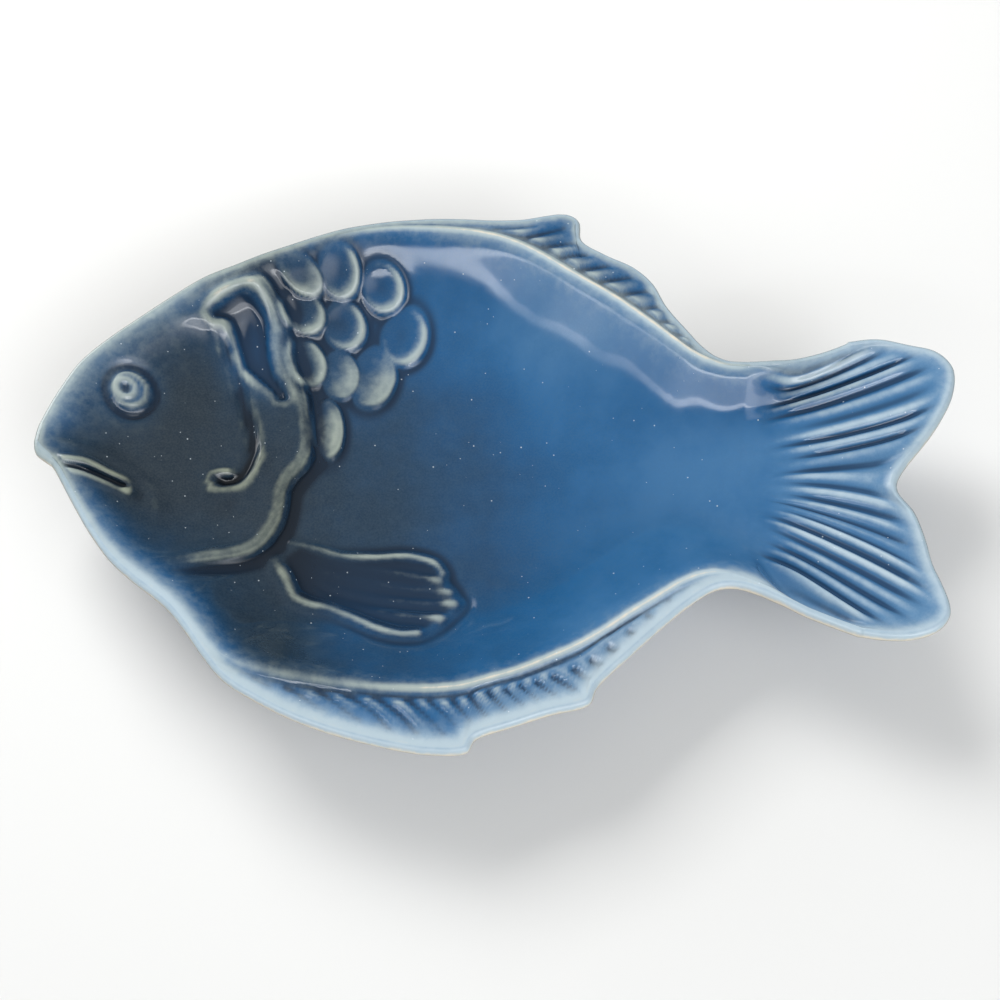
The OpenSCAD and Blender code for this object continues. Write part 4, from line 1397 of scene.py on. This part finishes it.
@dataclass(frozen=True)
class GlazeFinish:
    """A glossy glaze, slate at the head and sky blue at the tail, that breaks pale and pools dark."""

    name: str
    body: tuple[tuple[float, Colour], ...] = (
        (0.00, (0.012, 0.022, 0.033)), (0.22, (0.012, 0.036, 0.070)), (0.45, (0.010, 0.066, 0.172)),
        (0.70, (0.010, 0.116, 0.305)), (1.00, (0.140, 0.270, 0.430)))
    pooled: tuple[Colour, Colour] = ((0.003, 0.006, 0.010), (0.018, 0.060, 0.140))
    breaking: tuple[Colour, Colour] = ((0.300, 0.330, 0.250), (0.470, 0.580, 0.650))
    bare: Colour = (0.760, 0.690, 0.560)
    haze: tuple[Colour, Colour] = ((0.060, 0.075, 0.082), (0.036, 0.160, 0.320))
    fleck: Colour = (0.640, 0.720, 0.780)
    roughness: float = 0.07
    ripple: float = 0.08

    def material(self) -> bpy.types.Material:
        """Builds the glaze's material.

        Returns:
            The material, which reads how the glaze lies from glaze_state.
        """
        made = bpy.data.materials.new(self.name)
        sheet = blank_sheet(made)
        state = sheet.add("ShaderNodeAttribute", "thin, pooled and tone", attribute_name="glaze_state")
        parts = sheet.add("ShaderNodeSeparateColor", "parts")
        sheet.link(state.outputs["Color"], parts.inputs[0])
        thin, pool, tone = parts.outputs[0], parts.outputs[1], parts.outputs[2]
        clouds = place_effect(sheet, Effect.MOTTLE, "broad clouds", Scale=30.0)
        grain = place_effect(sheet, Effect.MOTTLE, "fine mottle", Scale=1500.0)
        patch = place_effect(sheet, Effect.MOTTLE, "patches", Scale=260.0)
        uneven = sheet.math("MULTIPLY", sheet.math("SUBTRACT", clouds, 0.5), 0.12)
        body = sheet.stops(sheet.math("ADD", tone, uneven), self.body, "body colour")
        speckle = sheet.math("ADD", sheet.math("MULTIPLY", grain, 0.26), sheet.math("MULTIPLY", patch, 0.09))
        body = sheet.mix(speckle, body, sheet.mix(tone, *self.haze, "mottle colour"), "mottle")
        deep = sheet.mix(tone, *self.pooled, "pool colour")
        body = sheet.mix(sheet.ramp(pool, 0.0, 1.0, 0.0, 0.95), body, deep, "pooled")
        break_at = sheet.math("ADD", thin, sheet.math("MULTIPLY", sheet.math("SUBTRACT", patch, 0.5), 0.10))
        pale = sheet.mix(tone, *self.breaking, "thin colour")
        body = sheet.mix(sheet.ramp(break_at, 0.04, 0.70, 0.0, 0.95), body, pale, "broken thin")
        body = sheet.mix(sheet.ramp(break_at, 0.70, 0.98, 0.0, 0.95), body, self.bare, "clay showing")
        flecks = place_effect(sheet, Effect.FLECK, "flecks", Scale=430.0, Size=0.15, Share=0.26)
        body = sheet.mix(sheet.math("MULTIPLY", flecks, 0.7), body, self.fleck, "white flecks")
        rough = sheet.math("ADD", sheet.math("MULTIPLY", patch, 0.04), self.roughness)
        rough = sheet.math("ADD", rough, sheet.ramp(thin, 0.6, 1.0, 0.0, 0.14))
        ripple = place_effect(sheet, Effect.RIPPLE, "ripple", Scale=95.0)
        gloss = {"IOR": 1.50, "Coat Weight": 0.4, "Coat Roughness": 0.03}
        sheet.surface("glaze", body, rough, ripple, (self.ripple, 0.0006), **gloss)
        return made


@dataclass(frozen=True)
class ClayFinish:
    """Bare fired clay with a fine grain, ground smooth where it stands."""

    name: str
    pale: Colour = (0.640, 0.560, 0.430)
    warm: Colour = (0.520, 0.410, 0.280)
    speck: Colour = (0.270, 0.190, 0.120)
    roughness: float = 0.72

    def material(self) -> bpy.types.Material:
        """Builds the clay's material.

        Returns:
            The material.
        """
        made = bpy.data.materials.new(self.name)
        sheet = blank_sheet(made)
        clouds = place_effect(sheet, Effect.MOTTLE, "firing blush", Scale=48.0)
        grain = place_effect(sheet, Effect.MOTTLE, "grain", Scale=900.0)
        body = sheet.mix(clouds, self.pale, self.warm, "blush")
        body = sheet.mix(sheet.math("MULTIPLY", grain, 0.22), body, self.warm, "grain")
        specks = place_effect(sheet, Effect.FLECK, "specks", Scale=420.0, Size=0.3, Share=0.08)
        body = sheet.mix(sheet.math("MULTIPLY", specks, 0.8), body, self.speck, "specks")
        rough = sheet.math("ADD", sheet.math("MULTIPLY", grain, 0.12), self.roughness)
        tooth = place_effect(sheet, Effect.RIPPLE, "tooth", Scale=1400.0)
        sheet.surface("clay", body, rough, tooth, (0.25, 0.0002))
        return made


# Pieces


def finish_piece(piece: bpy.types.Object, material: bpy.types.Material, node: str) -> bpy.types.Object:
    """Dresses a piece, seats it on the body and lets it stand for its solid.

    Args:
        piece: The mesh object.
        material: Its finish.
        node: The solid that it replaces.

    Returns:
        The piece.
    """
    piece.data.materials.append(material)
    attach(piece, "root")
    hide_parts(node)
    log.info("%s: %d points, %d faces", piece.name, len(piece.data.vertices), len(piece.data.polygons))
    return piece


@dataclass
class Coat:
    """What the glaze coats and the clay share: the grid and its heights."""

    form: DishForm
    grid: DishGrid
    z: Points
    relief: Points
    away: Points
    tones: Table = ((-152, .10), (-128, .0), (-80, .02), (-46, .20), (-10, .38), (30, .60), (70, .70),
                    (104, .75), (140, .84))

    @classmethod
    def laid(cls, form: DishForm, relief: FaceRelief | None, density: float) -> "Coat":
        """Lays a grid over the dish and raises its relief.

        Args:
            form: The dish's form.
            relief: The relief, or None for a plain grid.
            density: How dense the grid is, where 1 is full.

        Returns:
            The coat.
        """
        grid = DishGrid(form, density)
        z, away = grid.plain()
        raised = relief.over(grid, away) if relief else np.zeros(z.shape)
        return cls(form, grid, z, raised, away)

    def under(self) -> Points:
        """Works out the clay's underside, which comes down to the foot all round.

        Returns:
            Its heights over the grid.
        """
        form = self.form
        x, y = self.grid.places
        rim, floor = form.rim_at(x), form.floor_at(x)
        steep = np.clip((self.z - floor) / np.maximum(rim - floor, 1.0), 0, 1)
        thick = form.clay_wall * (1 + form.steep_extra * steep)
        thick = form.rim_edge + (thick - form.rim_edge) * ease(0, 11, self.grid.edge_gap(x, y, 3))
        below = np.maximum(0, self.z - thick - form.foot_height)
        return form.foot_height + below * ease(1.0, 1.36, form.pad(x, y))

    def tone(self, x: Points, y: Points) -> Points:
        """The glaze's broad change of tone, with a painted reflection that turns the lower jaw bluer.

        Args:
            x: Places along the dish.
            y: Places across it.

        Returns:
            The tones, from 0 at the head to 1 at the tail.
        """
        along = soft_table(x + .18 * y, self.tones)
        walls = .20 * ease(30, 62, np.abs(y + 2)) * ease(-84, -30, x)
        # Painted reflection: the lower jaw is turned bluer to match a sheen of mirrored light
        jaw = .20 * ease(-8, -46, y) * ease(-60, -104, x)
        root = .30 * spot(x, y, (104, 33), 26, 13)
        scales = .12 * spot(x, y, (-54, 48), 22, 32)
        fin = .10 * spot(x, y, (-42, -43), 34, 17)
        return np.clip(along + walls + jaw + scales + fin - root, 0, 1)


@dataclass
class FaceGlaze:
    """The coat of glaze over the face and over the edge of the rim."""

    form: DishForm
    relief: FaceRelief
    finish: GlazeFinish
    rings: int = 6

    def build(self, coat: Coat) -> bpy.types.Object:
        """Builds and dresses the coat.

        Args:
            coat: The worked grid.

        Returns:
            The piece.
        """
        grid, form = coat.grid, self.form
        points = grid.raised(coat.z + coat.relief + form.glaze)
        rim = grid.rim_rings(points[grid.loop, 2] - form.glaze, 0, 90, self.rings + 1)[1:]
        for k, ring in enumerate(rim, 1):
            ring[:, 2] += form.glaze * math.cos(math.radians(90 * k / self.rings))
        loops = [grid.loop, *ring_numbers(len(points), len(grid.loop), self.rings)]
        faces = np.concatenate([grid.quads(), strip_faces(loops)])
        piece = mesh_object("face_glaze_coat", np.concatenate([points, rim.reshape(-1, 3)]), faces)
        paint(piece, "glaze_state", self._state(coat, rim))
        return finish_piece(piece, self.finish.material(), "face_glaze")

    def _state(self, coat: Coat, rim: Points) -> Points:
        """Works out how the glaze lies on the face and then on the rim.

        Args:
            coat: The worked grid.
            rim: Rings of points round the rim.

        Returns:
            Rows of how thin it is, how far it pooled and its tone.
        """
        grid = coat.grid
        x, y = grid.places
        fine, broad = GlazeFlow().proud(grid.plan, coat.relief, (1.7, 5.0))
        bands = grid.fin_bands()
        edge = grid.edge_gap(x, y, 2)
        tail = ease(88, 108, x)
        ridge = tail * ease(-.35, .55, fine) * (1 + .55 * np.sin(grid.rib * .83 + .6))
        # Painted reflection: the brow, snout and jaw are made paler and bluer where a window would be
        # mirrored in the convex glaze
        painted_sheen = (bump(coat.away, 16) * ease(-84, -118, x) * ease(-12, 8, y)
                 + .7 * bump(coat.away, 9) * ease(-60, -100, x) * ease(-8, -20, y))
        low_side = ease(10, -40, y) * ease(-150, -100, x) * (1 - .75 * tail)
        more_thin, more_pool = self.relief.tints(grid)

        # It runs thin off whatever stands proud, and there the clay's pale colour comes through; the painted
        # reflection on the brow, snout and jaw is added to it here too
        thin = ease(-.1, 1.4, fine) * .62 + ease(.3, 2.0, broad) * .14
        thin = thin * (1 - .75 * spot(x, y, self.relief.eye.centre, 9.5, 9.5)) + more_thin
        thin = thin * (1 - .32 * tail) + .15 * painted_sheen + .18 * ridge
        thin = thin + .07 * bands * ease(9, 2, edge) * np.where(y < 0, 1.0, .5)
        near = .50 * ease(-50, -12, x) * ease(-82, -66, -x) * (y < 0)
        far = .34 * ease(-70, -40, x) * ease(-86, -74, -x) * (y > 0)
        crest = (bump(coat.away, 1.1) * (.12 + near + far) + .19 * bump(coat.away, 4.4)
                 + .17 * bump(coat.away, 8.0) * ease(20, 40, y) * ease(-40, -10, x))
        lip = ((.30 + .10 * low_side) * bump(edge, 1.4 + 1.2 * low_side)
               + (.22 + .10 * low_side) * bump(edge, 4.8 + 2.8 * low_side))

        # It pools in the hollows
        pool = ease(.0, .70, -fine) * .55 + ease(.1, 1.5, -broad) * .45
        pool = pool * np.where(bands, 1.2, 1.0) + .15 * tail * ease(.0, .8, -fine) + more_pool

        # Its tone turns paler at the rim, on the belly fin and on the tail's ribs, and bluer under the
        # painted reflection on the brow, snout and jaw
        from_crest = (1 - grid.inward) * grid.wide
        belly = bands * (y < 0) * (.38 * ease(.5, 6, from_crest) + .50 * ease(8, 2, edge))
        paler = np.maximum(belly, .75 * bump(edge, 7.0) * (.35 + .65 * low_side))
        tone = coat.tone(x, y) + .5 * spot(x, y, (-87, 45), 13, 19)
        tone = np.where(bands & (y > 0), .58 * tone, tone)
        eye = .35 * spot(x, y, self.relief.eye.centre, 8.5, 8.5)
        tone = np.clip(tone + (1 - tone) * paler + eye + .24 * painted_sheen + .24 * ridge, 0, 1)

        rows = [np.stack([np.maximum(thin + crest, lip), pool, tone], -1).reshape(-1, 3)]
        for k, ring in enumerate(rim, 1):
            tone = .4 + .6 * np.maximum(coat.tone(ring[:, 0], ring[:, 1]), ease(10, -40, ring[:, 1]))
            thin = np.full(len(ring), .44 + .56 * (k / self.rings) ** 1.1)
            rows.append(np.stack([thin, np.zeros(len(ring)), tone], -1))
        return np.concatenate(rows)


@dataclass
class BackGlaze:
    """The coat of glaze over the back, and the thin plate of it inside the foot ring."""

    form: DishForm
    finish: GlazeFinish
    rings: int = 5
    plate_rings: int = 6
    thickness: float = 0.7

    def build(self, coat: Coat) -> bpy.types.Object:
        """Builds and dresses the coat.

        Args:
            coat: The plain grid.

        Returns:
            The piece.
        """
        grid, form = coat.grid, self.form
        points = grid.raised(coat.under())
        turn = form.pad(points[:, 0], points[:, 1])
        quads = grid.quads(True)
        kept = quads[(turn[quads] > 1.0).any(axis=1)]
        seam = np.unique(kept[turn[kept] <= 1.0])
        points[seam, 0] = (points[seam, 0] + form.foot_set_back) / turn[seam] - form.foot_set_back
        points[seam, 1] /= turn[seam]
        points[:, 2] -= form.glaze * self.thickness * ease(1.0, 1.05, turn)
        rim = grid.rim_rings(coat.z.ravel()[grid.loop], 90, 172, self.rings + 1)
        loops = [*ring_numbers(len(points), len(grid.loop), self.rings + 1), grid.loop]
        plate, plate_faces = self._plate()
        every = np.concatenate([points, rim.reshape(-1, 3), plate])
        faces = np.concatenate([kept, strip_faces(loops), plate_faces + len(every) - len(plate)])
        used = np.unique(faces)
        place = np.zeros(len(every), int)
        place[used] = np.arange(len(used))
        piece = mesh_object("back_glaze_coat", every[used], place[faces])
        paint(piece, "glaze_state", self._state(every, turn, coat)[used])
        return finish_piece(piece, self.finish.material(), "back_glaze")

    def _plate(self) -> tuple[Points, Points]:
        """Makes the plate inside the foot ring, whose front faces down.

        Returns:
            Its points and its faces.
        """
        form = self.form
        turns = np.radians(np.arange(0, 360, 4.0))
        long = form.foot_length - 2 * (form.foot_wall + form.glaze)
        wide = form.foot_width - 2 * (form.foot_wall + form.glaze)
        low = form.foot_height - form.glaze
        rings = []
        for k in range(self.plate_rings + 1):
            share = 1 - k / self.plate_rings * .98
            rings.append(form.oval(turns, long * share, wide * share, low + form.glaze * .9 * (k == 0)))
        loops = ring_numbers(0, len(turns), len(rings))
        middle = np.full(len(turns), len(rings) * len(turns))
        cap = np.stack([np.roll(loops[-1], -1), loops[-1], middle, middle], 1)
        points = np.concatenate([*rings, [[-form.foot_set_back, 0, low]]])
        return points, np.concatenate([strip_faces(loops), cap])

    def _state(self, points: Points, turn: Points, coat: Coat) -> Points:
        """Works out how the glaze lies on the back.

        Args:
            points: The back's points, then the rim's and then the plate's.
            turn: How far out the back's points lie from the middle of the foot.
            coat: The plain grid.

        Returns:
            Rows of how thin it is, how far it pooled and its tone.
        """
        x, y = points[:, 0], points[:, 1]
        count, loop = len(turn), len(coat.grid.loop)
        thin, pool = np.zeros((2, len(points)))
        edge = coat.grid.edge_gap(x[:count], y[:count], 3)
        thin[:count] = .62 * bump(edge, 1.3) + .5 * bump(turn - 1.0, .018)
        for k in range(self.rings + 1):
            thin[count + k * loop:count + (k + 1) * loop] = 1 - .38 * (k / self.rings) ** 1.3
        pool[:count] = .55 * ease(.09, .0, np.abs(turn - 1.06))
        return np.stack([thin, pool, .35 + .3 * coat.tone(x, y)], -1)


@dataclass
class ClayBody:
    """The fired clay under the glaze, which shows beside the foot ring."""

    form: DishForm
    finish: ClayFinish
    rings: int = 4
    shrink: float = 0.25
    notch_inset: float = 1.2
    notch_level: float = 0.4
    notch_reach: float = 18.0

    def build(self, coat: Coat) -> bpy.types.Object:
        """Builds and dresses the clay.

        Args:
            coat: A coarse grid with its relief.

        Returns:
            The piece.
        """
        grid, form = coat.grid, self.form
        sunk = np.minimum(coat.relief, 0)
        for axis in (0, 1, 0, 1):
            sunk = np.minimum(sunk, np.minimum(np.roll(sunk, 1, axis), np.roll(sunk, -1, axis)))
        face = coat.z + sunk - self.shrink * 3
        under = coat.under()
        back = np.maximum(form.foot_height, under + self.shrink * (under > form.foot_height + .01))
        rim = grid.rim_rings(coat.z.ravel()[grid.loop], 8, 172, self.rings + 1, -self.shrink)
        count = face.size
        loops = [grid.loop, *ring_numbers(2 * count, len(grid.loop), self.rings + 1), count + grid.loop]
        faces = np.concatenate([grid.quads(), grid.quads(True) + count, strip_faces(loops)])
        points = np.concatenate([grid.raised(face), grid.raised(back), rim.reshape(-1, 3)])
        middle = (face + back).ravel() / 2
        level = np.concatenate([middle, middle, np.tile(middle[grid.loop], self.rings + 1)])
        end = form.tail_points(np.linspace(10.0, 24.0, 57), np.array([1.0]))[0]
        notch = end[np.argmin(end[:, 0])]
        near = bump(distance(points[:, 0], points[:, 1], notch), self.notch_reach)
        points[:, 0] -= self.notch_inset * near
        points[:, 2] += (level - points[:, 2]) * self.notch_level * near
        piece = mesh_object("clay_casting", points, faces)
        return finish_piece(piece, self.finish.material(), "clay_body")


@dataclass
class FootRing:
    """The oval ring of clay that the dish stands on, rounded at its lower edges and ground flat."""

    form: DishForm
    finish: ClayFinish
    edge: float = 1.2
    facets: int = 96
    steps: int = 4

    def build(self) -> bpy.types.Object:
        """Builds and dresses the ring.

        Returns:
            The piece.
        """
        form = self.form
        turns = np.arange(self.facets) * 2 * math.pi / self.facets
        angles = np.radians(np.linspace(0, 90, self.steps + 1))
        arc = [(self.edge * (1 - math.cos(a)), self.edge * (1 - math.sin(a))) for a in angles]
        wall = [(0.0, form.foot_height), *arc]
        sections = wall + [(form.foot_wall - inset, z) for inset, z in reversed(wall)]
        long, wide = form.foot_length, form.foot_width
        rings = [form.oval(turns, long - 2 * inset, wide - 2 * inset, z) for inset, z in sections]
        loops = ring_numbers(0, self.facets, len(rings))
        piece = mesh_object("foot_ring_clay", np.concatenate(rings), strip_faces([*loops, loops[0]]))
        return finish_piece(piece, self.finish.material(), "foot_ring")


# Floor, light and camera


@dataclass(frozen=True)
class Lamp:
    """A soft lamp that points at the dish and isn't mirrored in its glaze, in metres and watts."""

    name: str
    place: Place
    size: tuple[float, float]
    power: float
    colour: Colour

    def hang(self, aim: Vector) -> None:
        """Hangs the lamp.

        Args:
            aim: The place that it points at.
        """
        data = bpy.data.lights.new(self.name, "AREA")
        data.shape = "RECTANGLE"
        data.size, data.size_y = self.size
        data.energy = self.power
        data.color = self.colour
        made = bpy.data.objects.new(self.name, data)
        made.location = self.place
        made.rotation_euler = (aim - Vector(self.place)).to_track_quat("-Z", "Y").to_euler()
        made.visible_glossy = False
        bpy.context.scene.collection.objects.link(made)


@dataclass
class Studio:
    """A plain pale floor, soft lamps and the camera at the photograph's angle."""

    aim: Place = (0.0016, -0.0177, 0.038)
    distance: float = 0.388
    elevation: float = 65.0
    turn: float = 2.6
    view: float = 45.0
    sensor: float = 36.0
    floor_size: float = 6.0
    floor_colour: Colour = (0.80, 0.80, 0.79)
    room: tuple[float, float] = (0.07, 0.30)
    white: Colour = (0.97, 0.985, 1.0)
    panes: tuple[tuple[Place, float, float], ...] = (
        ((-0.80, 0.58, 0.14), 32.0, 3.0), ((0.50, -0.62, 0.42), 30.0, 1.6))
    strips: tuple[tuple[float, float, float, float], ...] = (
        (0.525, 0.012, 0.565, 4.6), (0.28, 0.06, 0.50, 1.9))
    lamps: tuple[Lamp, ...] = (
        Lamp("window", (-0.55, 0.75, 0.85), (0.7, 0.5), 12.5, (1.0, 0.99, 0.97)),
        Lamp("fill", (0.8, -0.7, 0.9), (0.9, 0.9), 6.5, (0.98, 0.99, 1.0)))

    def camera(self) -> None:
        """Sets the camera up."""
        e, t = math.radians(self.elevation), math.radians(self.turn)
        back = Vector((math.sin(t) * math.cos(e), -math.cos(t) * math.cos(e), math.sin(e)))
        right = (-back).cross(Vector((0, 0, 1))).normalized()
        up = right.cross(-back)
        eye = Vector(self.aim) + back * self.distance
        data = bpy.data.cameras.new("camera")
        data.sensor_width = self.sensor
        data.lens = self.sensor / 2 / math.tan(math.radians(self.view / 2))
        data.clip_start = 0.01
        made = bpy.data.objects.new("camera", data)
        made.matrix_world = Matrix((
            (right.x, up.x, back.x, eye.x), (right.y, up.y, back.y, eye.y), (right.z, up.z, back.z, eye.z),
            (0, 0, 0, 1)))
        bpy.context.scene.collection.objects.link(made)
        bpy.context.scene.camera = made

    def floor(self) -> None:
        """Lays the floor."""
        half = self.floor_size / 2 / MM
        corners = np.array([[-half, -half, 0], [half, -half, 0], [half, half, 0], [-half, half, 0]])
        made = mesh_object("floor", corners, np.array([[0, 1, 2, 3]]))
        material = bpy.data.materials.new("pale floor")
        material.use_nodes = True
        shader = material.node_tree.nodes["Principled BSDF"]
        shader.inputs["Base Color"].default_value = (*self.floor_colour, 1.0)
        shader.inputs["Roughness"].default_value = 0.9
        shader.inputs["Specular IOR Level"].default_value = 0.1
        made.data.materials.append(material)
        made.visible_glossy = False

    def world(self) -> None:
        """Sets the light from all round, with panes and a band of window light, and the white background."""
        world = bpy.data.worlds.new("studio")
        sheet = blank_sheet(world)
        toward = sheet.add("ShaderNodeTexCoord", "direction").outputs["Generated"]
        path = sheet.add("ShaderNodeLightPath")
        way = sheet.add("ShaderNodeSeparateXYZ", "direction's parts")
        sheet.link(toward, way.inputs[0])
        glow_from = sheet.ramp(way.outputs[2], 0.0, 1.0, *self.room)
        for aim, spread, power in self.panes:
            turn = sheet.add("ShaderNodeVectorMath", "toward the pane", operation="DOT_PRODUCT")
            turn.inputs[1].default_value = Vector(aim).normalized()
            sheet.link(toward, turn.inputs[0])
            pane = sheet.ramp(turn.outputs["Value"], math.cos(math.radians(spread)), 1.0, 0.0, power)
            glow_from = sheet.math("ADD", pane, glow_from)
        for low, soft, high, power in self.strips:
            strip = sheet.math("MULTIPLY", sheet.ramp(way.outputs[2], low, low + soft),
                               sheet.ramp(way.outputs[2], high, high + 2 * soft, 1.0, 0.0))
            ends = sheet.ramp(way.outputs[1], -0.75, -0.35, power, 0.0)
            glow_from = sheet.math("ADD", glow_from, sheet.math("MULTIPLY", strip, ends))
        strength = sheet.add("ShaderNodeMix", "white where it is seen", data_type="FLOAT", in_3=1.0)
        sheet.link(path.outputs["Is Camera Ray"], strength.inputs[0])
        sheet.link(glow_from, strength.inputs[2])
        glow = sheet.add("ShaderNodeBackground", "glow")
        glow.inputs[0].default_value = (*self.white, 1.0)
        sheet.link(strength.outputs[0], glow.inputs[1])
        sheet.link(glow.outputs[0], sheet.add("ShaderNodeOutputWorld").inputs[0])
        bpy.context.scene.world = world

    def build(self) -> None:
        """Builds the whole studio."""
        self.camera()
        self.floor()
        self.world()
        for lamp in self.lamps:
            lamp.hang(Vector(self.aim))
        bpy.context.scene.view_settings.view_transform = "Standard"
        log.info("studio: camera %.3f m from the dish", self.distance)


def main() -> None:
    """Builds, dresses and lights the platter."""
    logging.basicConfig(level=logging.INFO, format="%(name)s: %(message)s")
    log.info("frame: %d nodes", len(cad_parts))
    form = DishForm()
    Studio().build()
    relief = FaceRelief()
    FaceGlaze(form, relief, GlazeFinish("blue face glaze")).build(Coat.laid(form, relief, 1.0))
    BackGlaze(form, GlazeFinish("blue back glaze")).build(Coat.laid(form, None, 0.6))
    ClayBody(form, ClayFinish("cream clay")).build(Coat.laid(form, relief, 0.4))
    FootRing(form, ClayFinish("ground cream clay", roughness=0.8)).build()


if __name__ == "__main__":
    main()
